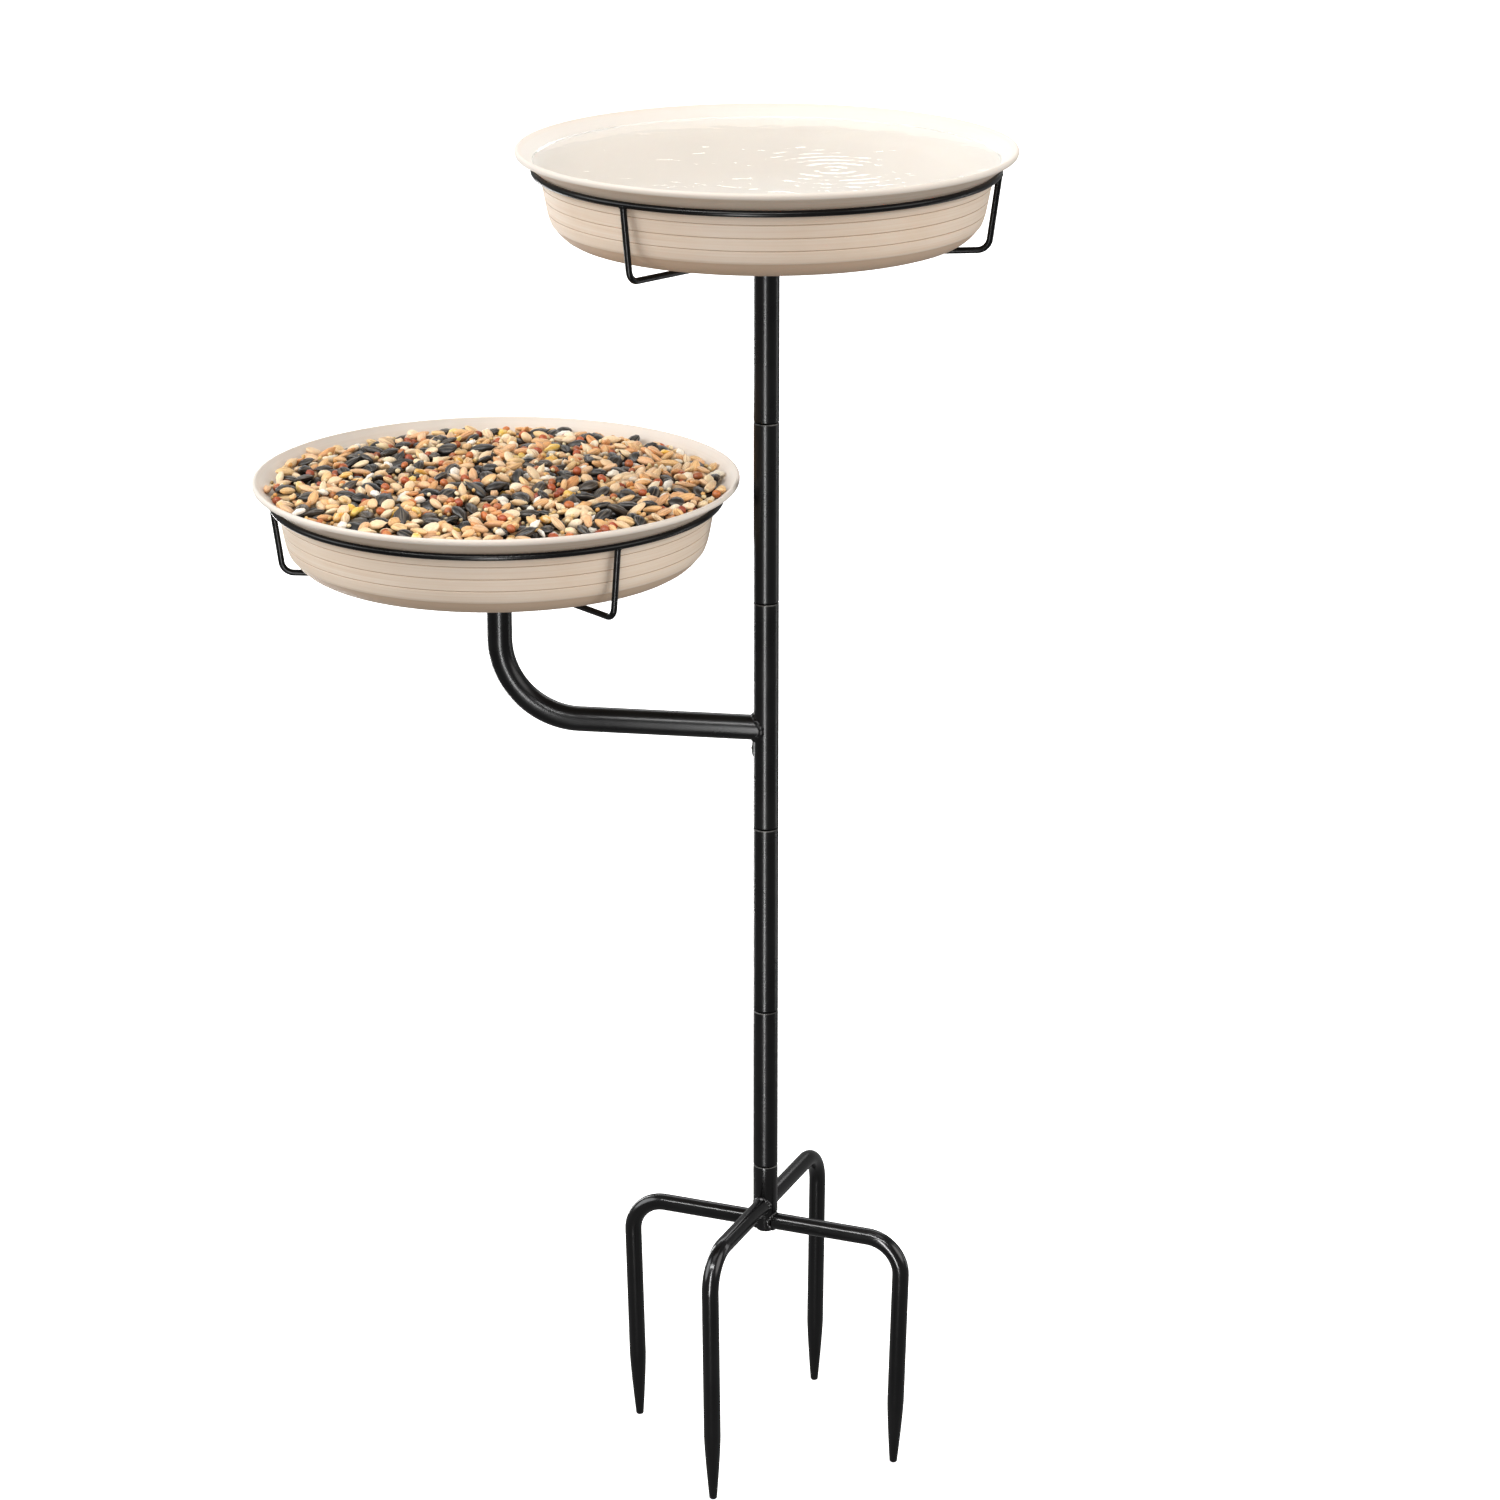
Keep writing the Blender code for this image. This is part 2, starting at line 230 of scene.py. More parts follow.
@dataclass
class Stroke:
    """A round bar drawn by pushing a circle along: straight runs, bends and tapers.

    Attributes:
        piece: The mesh object, in edit mode while the stroke runs.
        spot: The middle of the circle that is being pushed.
        heading: The way that it faces.
        radius: Its radius now.
    """

    piece: bpy.types.Object
    spot: Vector
    heading: Vector
    radius: float

    @classmethod
    def begin(
        cls, name: str, spot: Vector, heading: Vector, radius: float, sides: int
    ) -> "Stroke":
        """Draws the first circle and opens the piece for editing.

        Args:
            name: The new object's name.
            spot: The circle's middle.
            heading: The way that the bar sets off.
            radius: The bar's radius.
            sides: How many flats the bar has.

        Returns:
            A stroke that is ready to run.
        """
        deselect_all()
        turn = heading.to_track_quat("Z", "Y").to_euler()
        bpy.ops.mesh.primitive_circle_add(
            vertices=sides, radius=radius, location=spot, rotation=turn
        )
        piece = named(bpy.context.object, name)
        apply_place(piece)
        bpy.ops.object.mode_set(mode="EDIT")
        bpy.ops.mesh.select_all(action="SELECT")
        return cls(piece, spot.copy(), heading.normalized(), radius)

    def run(self, length: float) -> "Stroke":
        """Pushes the circle straight ahead."""
        step = self.heading * length
        bpy.ops.mesh.extrude_edges_move(TRANSFORM_OT_translate={"value": tuple(step)})
        self.spot += step
        return self

    def resize(self, radius: float) -> "Stroke":
        """Scales the circle where it is."""
        share = radius / self.radius
        bpy.ops.transform.resize(value=(share, share, share), center_override=tuple(self.spot))
        self.radius = radius
        return self

    def bend(self, towards: Vector, radius: float, steps: int) -> "Stroke":
        """Sweeps the circle through a bend until it faces another way.

        Args:
            towards: The new heading.
            radius: The bend's radius at the bar's middle.
            steps: How many flats the bend has.

        Returns:
            The same stroke, so that the next call can follow.
        """
        towards = towards.normalized()
        axis = self.heading.cross(towards).normalized()
        angle = self.heading.angle(towards)
        centre = self.spot + axis.cross(self.heading) * radius
        bpy.ops.mesh.spin(
            steps=steps, angle=-angle, center=tuple(centre), axis=tuple(axis), use_auto_merge=False
        )
        self.spot = centre + Matrix.Rotation(angle, 3, axis) @ (self.spot - centre)
        self.heading = towards
        return self

    def end(self, closed: bool = True) -> bpy.types.Object:
        """Closes the bar's ends if asked, and leaves edit mode."""
        if closed:
            fill_loops()
        else:
            weld_and_orient()
        bpy.ops.object.mode_set(mode="OBJECT")
        smooth(self.piece, 40.0)
        return self.piece


def setback(start: Vector, corner: Vector, end: Vector, radius: float) -> float:
    """How far from its corner a bend of some radius starts."""
    half_angle = (start - corner).angle(end - corner) / 2
    return radius / math.tan(half_angle)


def duplicate(piece: bpy.types.Object, name: str) -> bpy.types.Object:
    """Copies a piece, with a mesh of its own."""
    pick(piece)
    bpy.ops.object.duplicate(linked=False)
    return named(bpy.context.object, name)


def turn_about(piece: bpy.types.Object, axis: Point, angle: float) -> None:
    """Turns a piece round an upright axis, and keeps the turn in its mesh."""
    pivot = Vector((axis[0], axis[1], 0.0))
    turn = Matrix.Translation(pivot) @ Matrix.Rotation(angle, 4, "Z") @ Matrix.Translation(-pivot)
    piece.matrix_world = turn
    apply_place(piece)


def paint(piece: bpy.types.Object, name: str, value: Callable[[Vector], float]) -> None:
    """Stores a number on each vertex, for a finish to read.

    Args:
        piece: The mesh object.
        name: The attribute's name.
        value: Gives the number for a vertex's place.
    """
    layer = piece.data.attributes.new(name, "FLOAT", "POINT")
    layer.data.foreach_set("value", [value(vertex.co) for vertex in piece.data.vertices])


# ---------------------------------------------------------------- finishes


def linear(code: str) -> tuple[float, float, float, float]:
    """Turns an sRGB hex colour into linear light.

    Args:
        code: Such as "#EFE6DA".

    Returns:
        Red, green, blue and a full alpha.
    """
    shares = [int(code[i : i + 2], 16) / 255 for i in (1, 3, 5)]
    light = [s / 12.92 if s <= 0.04045 else ((s + 0.055) / 1.055) ** 2.4 for s in shares]
    return (light[0], light[1], light[2], 1.0)


def feed(node: bpy.types.Node, inputs: dict[str | int, object]) -> None:
    """Sets or links a node's inputs.

    Args:
        node: The node.
        inputs: For each input a value, a hex colour, an output, or a node, which stands for the
            first of its outputs that is in use.
    """
    for key, value in inputs.items():
        if isinstance(value, bpy.types.Node):
            value = next(output for output in value.outputs if output.enabled)
        if isinstance(value, bpy.types.NodeSocket):
            node.id_data.links.new(value, node.inputs[key])
        elif isinstance(value, str):
            node.inputs[key].default_value = linear(value)
        else:
            node.inputs[key].default_value = value


def add_node(
    tree: bpy.types.NodeTree,
    kind: str,
    inputs: dict[str | int, object] | None = None,
    **settings: object,
) -> bpy.types.Node:
    """Adds a node with its settings, its values and its links.

    Args:
        tree: The node tree.
        kind: The node's type name, without its leading "ShaderNode".
        inputs: What each input is fed with.
        settings: The node's properties. "stops" holds a colour ramp's (place, hex colour) pairs.

    Returns:
        The new node.
    """
    node = tree.nodes.new(f"ShaderNode{kind}")
    for name, value in settings.items():
        if name == "stops":
            ramp = node.color_ramp
            while len(ramp.elements) < len(value):
                ramp.elements.new(1.0)
            for stop, (place, code) in zip(ramp.elements, value):
                stop.position = place
                stop.color = linear(code)
        else:
            setattr(node, name, value)
    feed(node, inputs or {})
    return node


NodeAdder = Callable[..., bpy.types.Node]


@dataclass(frozen=True)
class Finish:
    """A surface finish that a material is built from once and then shared.

    Attributes:
        name: The material's name, after what the real one is.
    """

    name: str

    def material(self) -> bpy.types.Material:
        """Gives the finish's material, and builds it the first time."""
        found = bpy.data.materials.get(self.name)
        if found is not None:
            return found
        material = bpy.data.materials.new(self.name)
        material.use_nodes = True
        material.node_tree.nodes.clear()
        add = partial(add_node, material.node_tree)
        shader = add("BsdfPrincipled")
        add("OutputMaterial", {"Surface": shader})
        self.dress(add, shader)
        return material

    def dress(self, add: NodeAdder, shader: bpy.types.Node) -> None:
        """Adds the finish's own nodes round its shader.

        Args:
            add: Adds a node to the finish's tree.
            shader: The finish's shader node.
        """
        raise NotImplementedError


@dataclass(frozen=True)
class PowderCoat(Finish):
    """Satin black polyester powder coat, sprayed and baked on steel.

    It gives a near-black surface with a soft broad sheen, a faint orange-peel waviness, and grey
    steel on the rims: worn through, and a painted highlight where a rim's top catches the light.

    Attributes:
        dark: The darker of its two blacks.
        light: The lighter of them.
        wear_and_highlight: The grey of bare worn steel, also the rims' painted highlight.
        peel_spacing: The spacing of the orange peel.
        grit_spacing: The spacing of the specks in a grey rim.
        cloud_spacing: The spacing of the clouding between the two blacks.
        roughness: The least and the greatest roughness.
        specular: The strength of its reflections, where 0.5 is plain plastic.
    """

    dark: str = "#060607"
    light: str = "#0E0E0F"
    wear_and_highlight: str = "#8E8E8C"
    # Orange peel is about 1 mm from crest to crest; drawn at 2.6 mm, so that it still shows.
    peel_spacing: float = 2.6 * MM
    grit_spacing: float = 1.4 * MM
    cloud_spacing: float = 24.0 * MM
    roughness: tuple[float, float] = (0.23, 0.33)
    specular: float = 0.24

    def dress(self, add: NodeAdder, shader: bpy.types.Node) -> None:
        """Adds the clouded black, the grey rims and the orange peel.

        Args:
            add: Adds a node to the finish's tree.
            shader: The finish's shader node.
        """
        place = add("TexCoord").outputs["Object"]
        cloud = add("TexNoise", {"Vector": place, "Scale": 1 / self.cloud_spacing, "Detail": 4.0})
        black = add("ValToRGB", {"Fac": cloud}, stops=((0.35, self.dark), (0.68, self.light)))
        grit = add("TexNoise", {"Vector": place, "Scale": 1 / self.grit_spacing, "Detail": 3.0})
        # Grey rims: worn-through steel, and a painted highlight where a rim's top catches the
        # light.
        wear = add("Attribute", attribute_name="wear").outputs["Fac"]
        wear_and_highlight = add("Math", {0: wear, 1: grit}, operation="MULTIPLY", use_clamp=True)
        colour = add("Mix", {0: wear_and_highlight, 6: black, 7: self.wear_and_highlight}, data_type="RGBA")
        gloss = add(
            "MapRange", {"Value": cloud, "To Min": self.roughness[0], "To Max": self.roughness[1]}
        )
        peel = add("TexNoise", {"Vector": place, "Scale": 1 / self.peel_spacing, "Detail": 1.5})
        bump = add("Bump", {"Strength": 0.35, "Distance": 0.05 * MM, "Height": peel})
        feed(
            shader,
            {
                "Base Color": colour,
                "Roughness": gloss,
                "Normal": bump,
                "IOR": 1.5,
                "Specular IOR Level": self.specular,
            },
        )


@dataclass(frozen=True)
class StonewarePlastic(Finish):
    """Moulded polypropylene that is streaked to pass for thrown stoneware.

    It gives warm cream with fine rings and level streaks, as from a potter's wheel, a slightly
    waxy sheen, painted shade low on the outside and in the grooves, and painted light inside
    and on the lip.

    Attributes:
        axis: Where the tray's own axis stands, as x and y.
        rim: The height of its lip's edge.
        pale: The palest cream.
        cream: The commonest cream.
        streak: The colour of the streaks.
        blush: Painted shade, slightly pinker, on the base's down-facing band outside.
        painted_groove_shade: The painted shade in the bottom of a groove.
        rinsed: The pale colour of painted light inside and on the lip.
        line_spacing: The spacing of the wheel marks.
        line_length: How far one runs before it fades.
        mottle_spacing: The spacing of the broad mottling.
        roughness: The least and the greatest roughness.
    """

    axis: Point = (0.0, 0.0)
    rim: float = 0.0
    pale: str = "#F6E8D8"
    cream: str = "#EDD9C3"
    streak: str = "#DEC3A6"
    blush: str = "#DDC3A9"
    painted_groove_shade: str = "#B2977C"
    rinsed: str = "#ECE7E0"
    # Wheel marks: 1.6 mm from line to line, fading in and out over about 160 mm of girth.
    line_spacing: float = 1.6 * MM
    line_length: float = 160.0 * MM
    mottle_spacing: float = 38.0 * MM
    roughness: tuple[float, float] = (0.5, 0.68)

    def dress(self, add: NodeAdder, shader: bpy.types.Node) -> None:
        """Adds streaks, mottling, painted shade and painted light, and the fine turning lines.

        Args:
            add: Adds a node to the finish's tree.
            shader: The finish's shader node.
        """
        place = add("TexCoord").outputs["Object"]
        centred = add(
            "Mapping", {"Vector": place, "Location": (-self.axis[0], -self.axis[1], -self.rim)}
        )
        parts = add("SeparateXYZ", {"Vector": centred})
        flat = add("CombineXYZ", {"X": parts.outputs["X"], "Y": parts.outputs["Y"]})
        radius = add("VectorMath", {0: flat}, operation="LENGTH")
        # Level on the wall, ringed on the floor: radius and height share one fine coordinate.
        across = add("Math", {0: radius, 1: parts.outputs["Z"]}, operation="ADD")
        fine = add("Math", {0: across, 1: 1 / self.line_spacing}, operation="MULTIPLY")
        along = add("VectorMath", {0: flat, "Scale": 1 / self.line_length}, operation="SCALE")
        along_parts = add("SeparateXYZ", {"Vector": along})
        wheel = add(
            "CombineXYZ", {"X": along_parts.outputs["X"], "Y": along_parts.outputs["Y"], "Z": fine}
        )
        streaks = add(
            "TexNoise", {"Vector": wheel, "Scale": 1.0, "Detail": 5.0, "Roughness": 0.62}
        )
        mottle = add(
            "TexNoise",
            {"Vector": place, "Scale": 1 / self.mottle_spacing, "Detail": 5.0, "Roughness": 0.55},
        )
        body = add(
            "ValToRGB",
            {"Fac": streaks},
            stops=((0.26, self.streak), (0.44, self.cream), (0.74, self.pale)),
        )
        cloud = add("ValToRGB", {"Fac": mottle}, stops=((0.3, self.cream), (0.7, self.pale)))
        mixed = add("Mix", {0: 0.4, 6: body, 7: cloud}, data_type="RGBA")
        # Painted shade: the down-facing band under the crease is painted darker and pinker.
        low = add("Attribute", attribute_name="blush").outputs["Fac"]
        colour = add("Mix", {0: low, 6: mixed, 7: self.blush}, data_type="RGBA")
        # Painted light: the inside and the lip's top are painted paler.
        lit_mask = add("Attribute", attribute_name="rinsed").outputs["Fac"]
        lit_colour = add("Mix", {0: lit_mask, 6: colour, 7: self.rinsed}, data_type="RGBA")
        # Painted shade: the bottoms of the grooves are painted darker.
        groove = add("Attribute", attribute_name="groove").outputs["Fac"]
        groove_shaded = add("Mix", {0: groove, 6: lit_colour, 7: self.painted_groove_shade}, data_type="RGBA")
        gloss = add(
            "MapRange", {"Value": mottle, "To Min": self.roughness[0], "To Max": self.roughness[1]}
        )
        bump = add("Bump", {"Strength": 0.25, "Distance": 0.1 * MM, "Height": streaks})
        feed(
            shader,
            {
                "Base Color": groove_shaded,
                "Roughness": gloss,
                "Normal": bump,
                "IOR": 1.49,
                "Specular IOR Level": 0.35,
                "Subsurface Weight": 0.08,
                "Subsurface Radius": (1.0, 0.7, 0.5),
                "Subsurface Scale": 2.0 * MM,
            },
        )


@dataclass(frozen=True)
class GrainSkin(Finish):
    """The dry skin of one kind of seed, which differs a little from seed to seed.

    It gives each seed its own shade out of a short range, streaks that run along it, a fine
    mottling, a matt to slightly waxy surface, and painted shade low between the seeds.

    Attributes:
        shades: Hex colours that the seeds' shades run through, from the commonest range.
        streak: The colour of the lines along a seed.
        streak_share: How strongly they show, from 0 to 1.
        lines: How many lines there are round half a seed.
        roughness: The skin's roughness.
        relief: The depth of its lines and wrinkles.
        mottle_spacing: The spacing of its mottling.
    """

    shades: tuple[str, ...] = ("#E8CFA2", "#F3E3C2")
    streak: str = "#B99563"
    streak_share: float = 0.4
    lines: float = 5.0
    roughness: float = 0.55
    relief: float = 0.15 * MM
    mottle_spacing: float = 1.1 * MM

    def dress(self, add: NodeAdder, shader: bpy.types.Node) -> None:
        """Adds the shade of each seed, its streaks, mottling, painted shade low down and relief.

        Args:
            add: Adds a node to the finish's tree.
            shader: The finish's shader node.
        """
        shade = add("Attribute", attribute_name="shade").outputs["Fac"]
        grain = add("UVMap", uv_map="grain")
        place = add("TexCoord").outputs["Object"]
        last = len(self.shades) - 1
        own = add(
            "ValToRGB",
            {"Fac": shade},
            stops=tuple((i / max(last, 1), code) for i, code in enumerate(self.shades)),
        )
        parts = add("SeparateXYZ", {"Vector": grain})
        around = add("Math", {0: parts.outputs["Y"], 1: self.lines * 2.0}, operation="MULTIPLY")
        apart = add("Math", {0: shade, 1: 91.0}, operation="MULTIPLY")
        lengthwise = add("CombineXYZ", {"X": parts.outputs["X"], "Y": around, "Z": apart})
        lines = add(
            "TexNoise", {"Vector": lengthwise, "Scale": 1.0, "Detail": 2.0, "Roughness": 0.5}
        )
        shown = add(
            "MapRange",
            {"Value": lines, "From Min": 0.48, "From Max": 0.68, "To Max": self.streak_share},
        )
        striped = add("Mix", {0: shown, 6: own, 7: self.streak}, data_type="RGBA")
        mottle = add(
            "TexNoise", {"Vector": place, "Scale": 1 / self.mottle_spacing, "Detail": 2.0}
        )
        mottled = add("MapRange", {"Value": mottle, "To Min": 0.8, "To Max": 1.25})
        # Painted shade: seeds are darkened low down between the other seeds, where shade falls.
        sunk = add("Attribute", attribute_name="sunk").outputs["Fac"]
        shaded_low = add("MapRange", {"Value": sunk, "To Min": 1.12, "To Max": 0.35})
        value = add("Math", {0: mottled, 1: shaded_low}, operation="MULTIPLY")
        colour = add("HueSaturation", {"Color": striped, "Value": value})
        bump = add("Bump", {"Strength": 0.5, "Distance": self.relief, "Height": lines})
        feed(
            shader,
            {"Base Color": colour, "Normal": bump, "Roughness": self.roughness, "IOR": 1.46},
        )


@dataclass(frozen=True)
class SeedGapShade(Finish):
    """Crumbed dark brown under the seeds: painted shade between the grains, dry and dull.

    Attributes:
        crumb: The width of one crumb.
    """

    crumb: float = 2.2 * MM

    def dress(self, add: NodeAdder, shader: bpy.types.Node) -> None:
        """Adds crumbs of two browns and their relief."""
        place = add("TexCoord").outputs["Object"]
        crumbs = add("TexVoronoi", {"Vector": place, "Scale": 1 / self.crumb})
        colour = add("ValToRGB", {"Fac": crumbs}, stops=((0.1, "#8A6238"), (0.6, "#3A2515")))
        bump = add("Bump", {"Strength": 0.8, "Distance": 0.6 * MM, "Height": crumbs}, invert=True)
        feed(shader, {"Base Color": colour, "Normal": bump, "Roughness": 0.8})


@dataclass(frozen=True)
class ClearWater(Finish):
    """Still tap water: clear, with a mirror-like skin and slow ripples.

    Attributes:
        ripple: The spacing of the ripples.
    """

    ripple: float = 21.0 * MM

    def dress(self, add: NodeAdder, shader: bpy.types.Node) -> None:
        """Adds the ripples; clearness, IOR and gloss are on the shader itself.

        Args:
            add: Adds a node to the finish's tree.
            shader: The finish's shader node.
        """
        place = add("TexCoord").outputs["Object"]
        ripple = add(
            "TexNoise",
            {"Vector": place, "Scale": 1 / self.ripple, "Detail": 2.0, "Distortion": 0.6},
        )
        bump = add("Bump", {"Strength": 0.4, "Distance": 0.9 * MM, "Height": ripple})
        feed(
            shader,
            {
                "Normal": bump,
                "Base Color": "#FAFDFD",
                "Roughness": 0.02,
                "IOR": 1.333,
                "Transmission Weight": 0.8,
                "Alpha": 0.36,
            },
        )


@dataclass(frozen=True)
class PaintedFloor(Finish):
    """Matt white studio paint, rolled: nearly even, with the faintest clouding and a glow.

    Attributes:
        glow: How strongly it shines by itself, so that it stays white without any shadow.
    """

    glow: float = 0.8

    def dress(self, add: NodeAdder, shader: bpy.types.Node) -> None:
        """Adds the clouding and the glow.

        Args:
            add: Adds a node to the finish's tree.
            shader: The finish's shader node.
        """
        place = add("TexCoord").outputs["Object"]
        cloud = add("TexNoise", {"Vector": place, "Scale": 2.0})
        colour = add("ValToRGB", {"Fac": cloud}, stops=((0.3, "#F5F5F5"), (0.7, "#F8F8F8")))
        feed(
            shader,
            {
                "Base Color": colour,
                "Roughness": 0.9,
                "Specular IOR Level": 0.1,
                "Emission Color": "#FFFFFF",
                "Emission Strength": self.glow,
            },
        )


POLE_COAT = PowderCoat("powder_coated_steel_tube")
WIRE_COAT = PowderCoat("powder_coated_steel_wire", peel_spacing=1.8 * MM, specular=0.17)
BAR_COAT = PowderCoat("powder_coated_steel_bar", roughness=(0.15, 0.24), specular=0.36)


# ---------------------------------------------------------------- hand-over


def hand_over(
    piece: bpy.types.Object, body: str, finish: Finish, stands_for: Sequence[str] = ()
) -> None:
    """Dresses a finished piece and gives it to the body that carries it.

    Args:
        piece: The finished piece.
        body: The body that it rides on.
        finish: What it is dressed in.
        stands_for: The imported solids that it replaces, if any.
    """
    piece.data.materials.clear()
    piece.data.materials.append(finish.material())
    piece.data.polygons.foreach_set("material_index", [0] * len(piece.data.polygons))
    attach(piece, body)
    if stands_for:
        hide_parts(*stands_for)
    log.info("%s: %d faces, rides on %s", piece.name, len(piece.data.polygons), body)


@dataclass
class WeldBead:
    """A rippled fillet of weld where a round branch meets a round host.

    Attributes:
        origin: Where the two centrelines cross.
        host_axis: The way that the host runs.
        branch: The way that the branch leaves it.
        host_radius: The host's radius.
        branch_radius: The branch's radius.
        size: The bead's own radius.
        ripples: How many overlapping puddles it is made of.
    """

    origin: Vector
    host_axis: Vector
    branch: Vector
    host_radius: float
    branch_radius: float
    size: float
    ripples: int = 22

    def spot(self, angle: float) -> tuple[Vector, Vector]:
        """The bead's middle at an angle round the branch, and the way that its face looks.

        Args:
            angle: The angle round the branch.

        Returns:
            The place, and a direction of length 1.
        """
        side = self.host_axis.cross(self.branch).normalized()
        across = self.branch_radius * math.sin(angle)
        out = math.sqrt(max(self.host_radius**2 - across**2, (0.25 * self.host_radius) ** 2))
        ring = self.host_axis * math.cos(angle) + side * math.sin(angle)
        place = self.origin + self.branch * out + ring * self.branch_radius
        from_host = (self.branch * out + side * across).normalized()
        return place, (ring + from_host).normalized()

    def build(self, name: str) -> bpy.types.Object:
        """Bends a torus to the seam and ripples it.

        Args:
            name: The new object's name.

        Returns:
            The bead.
        """
        major, minor = 6 * self.ripples, 10
        deselect_all()
        bpy.ops.mesh.primitive_torus_add(
            major_segments=major, minor_segments=minor, major_radius=1.0, minor_radius=0.25
        )
        bead = named(bpy.context.object, name)
        for vertex in bead.data.vertices:
            angle = math.atan2(vertex.co.y, vertex.co.x)
            around = math.atan2(vertex.co.z, math.hypot(vertex.co.x, vertex.co.y) - 1.0)
            place, face = self.spot(angle)
            ahead = (self.spot(angle + 0.01)[0] - self.spot(angle - 0.01)[0]).normalized()
            side = ahead.cross(face).normalized()
            wave = math.cos(self.ripples * angle + 0.9 * math.cos(around))
            lumps = 0.24 * wave + 0.2 * math.sin(5 * angle + 1.0) + 0.14 * math.sin(11 * angle)
            size = self.size * (1.0 + lumps * max(math.cos(around), 0.0))
            offset = face * math.cos(around) * 0.75 + side * math.sin(around) * 1.1
            vertex.co = place + offset * size
        with edit_mode(bead):
            weld_and_orient()
        smooth(bead, 60.0)
        return bead


# ---------------------------------------------------------------- pole


@dataclass
class PoleTube:
    """One tube of the pole: swaged in below to plug into the next, with a rounded rim above.

    Attributes:
        node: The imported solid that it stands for.
        body: The body that carries it.
        radius: The tube's outer radius.
        wall: The tube's wall.
        spigot: The length of its swaged end.
        gap: The play between spigot and bore.
        neck: The height over which the swage narrows.
        rim_round: The rounding of the cut end's outer edge.
    """

    node: str
    body: str
    radius: float = 8.0 * MM
    wall: float = 1.0 * MM
    spigot: float = 25.0 * MM
    gap: float = 0.3 * MM
    neck: float = 0.9 * MM
    rim_round: float = 0.35 * MM

    def outline(self) -> list[Point]:
        """Draws up the tube's closed outline, up its outside and down its bore.

        Returns:
            (radius, height) of its points.
        """
        low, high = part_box(self.node)
        foot, top = low[2], high[2]
        stand = foot + self.spigot
        bore = self.radius - self.wall
        inner = bore - self.gap
        line = [(inner - self.wall, foot), (inner - 0.3 * MM, foot), (inner, foot + 0.3 * MM)]
        line.append((inner, stand + self.gap))
        for i in range(1, 7):
            share = i / 6
            swell = share * share * (3 - 2 * share)
            line.append(
                (inner + (self.radius - inner) * swell, stand + self.gap + self.neck * share)
            )
        # A row close to each end keeps the long wall between them straight to the light.
        line.append((self.radius, stand + self.gap + self.neck + 0.5 * MM))
        line.append((self.radius, top - 0.9 * MM))
        line += rounded(self.radius, top, self.rim_round, 4)
        line += [(bore + 0.15 * MM, top), (bore, top - 0.15 * MM), (bore, top - 0.9 * MM)]
        line += [(bore, stand + 5 * MM), (inner - self.wall, stand + 1 * MM)]
        return [*line, line[0]]

    def build(self) -> None:
        """Turns the tube and paints its rim grey: worn steel and a painted highlight."""
        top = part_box(self.node)[1][2]
        tube = turned(f"{self.node}_coated", self.outline(), (0.0, 0.0), 64)
        edge = self.radius - self.rim_round - 0.05 * MM
        # Painted highlight and worn steel on the rim's top.
        paint(
            tube,
            "wear",
            lambda co: (
                0.6 + 0.4 * math.sin(2 * math.atan2(co.y, co.x) + 40 * top)
                if co.z > top - 0.4 * MM and math.hypot(co.x, co.y) > edge
                else 0.0
            ),
        )
        hand_over(tube, self.body, POLE_COAT, [self.node])


@dataclass
class SideArm:
    """The bent tube that carries the lower tray, welded to the pole at one end.

    Attributes:
        radius: The tube's outer radius.
        wall: The tube's wall.
        bend_radius: The radius of its bend, at the middle of the tube.
        bead: The radius of the weld bead.
    """

    radius: float = 8.0 * MM
    wall: float = 1.0 * MM
    bend_radius: float = 51.0 * MM
    bead: float = 1.65 * MM

    def build(self) -> None:
        """Pushes the tube out, round its bend and up, then copes and welds it to the pole."""
        low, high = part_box("side_arm")
        reach = -low[0] - self.radius
        height = low[2] + self.radius
        top = high[2]
        arm = Stroke.begin(
            "side_arm_coated", Vector((-2 * MM, 0, height)), Vector((-1, 0, 0)), self.radius, 64
        )
        arm.run(6 * MM).run(reach - self.bend_radius - 8 * MM)
        arm.bend(Vector((0, 0, 1)), self.bend_radius, 28)
        arm.run(top - height - self.bend_radius - 1.0 * MM)
        arm.run(0.65 * MM).run(0.35 * MM).resize(self.radius - 0.3 * MM)
        piece = arm.end(closed=False)
        for vertex in piece.data.vertices:
            if vertex.co.x > -3 * MM and vertex.co.z < height + 2 * self.radius:
                vertex.co.x = -math.sqrt(max(self.radius**2 - vertex.co.y**2, 0.0)) + 0.4 * MM
        pick(piece)
        bpy.ops.object.modifier_add(type="SOLIDIFY")
        wall = piece.modifiers[-1]
        wall.thickness = self.wall
        wall.offset = -1.0
        bpy.ops.object.modifier_apply(modifier=wall.name)
        smooth(piece)
        # The top rim is painted grey: worn steel and a painted highlight.
        paint(piece, "wear", lambda co: 1.0 if co.z > top - 0.25 * MM else 0.0)
        hand_over(piece, "arm_pole", POLE_COAT, ["side_arm"])
        bead = WeldBead(
            Vector((0, 0, height)),
            Vector((0, 0, 1)),
            Vector((-1, 0, 0)),
            self.radius,
            self.radius,
            self.bead,
            ripples=14,
        ).build("side_arm_weld")
        hand_over(bead, "arm_pole", POLE_COAT)
        self.weld_end(height - self.radius - 0.4 * MM)

    def weld_end(self, start: float) -> None:
        """Runs a short lumpy ridge down the pole, where the welder drew the bead off.

        Args:
            start: The height that it runs down from.
        """
        ridge = Stroke.begin(
            "side_arm_weld_end",
            Vector((-self.radius, -1.2 * MM, start)),
            Vector((0, 0, -1)),
            0.3 * MM,
            12,
        )
        steps = 22
        for i in range(1, steps + 1):
            share = i / steps
            swell = math.sin(math.pi * share) * (1 + 0.22 * math.sin(17 * share))
            ridge.run(10.5 * MM / steps).resize((0.3 + 0.8 * swell) * MM)
        hand_over(ridge.end(), "arm_pole", POLE_COAT)


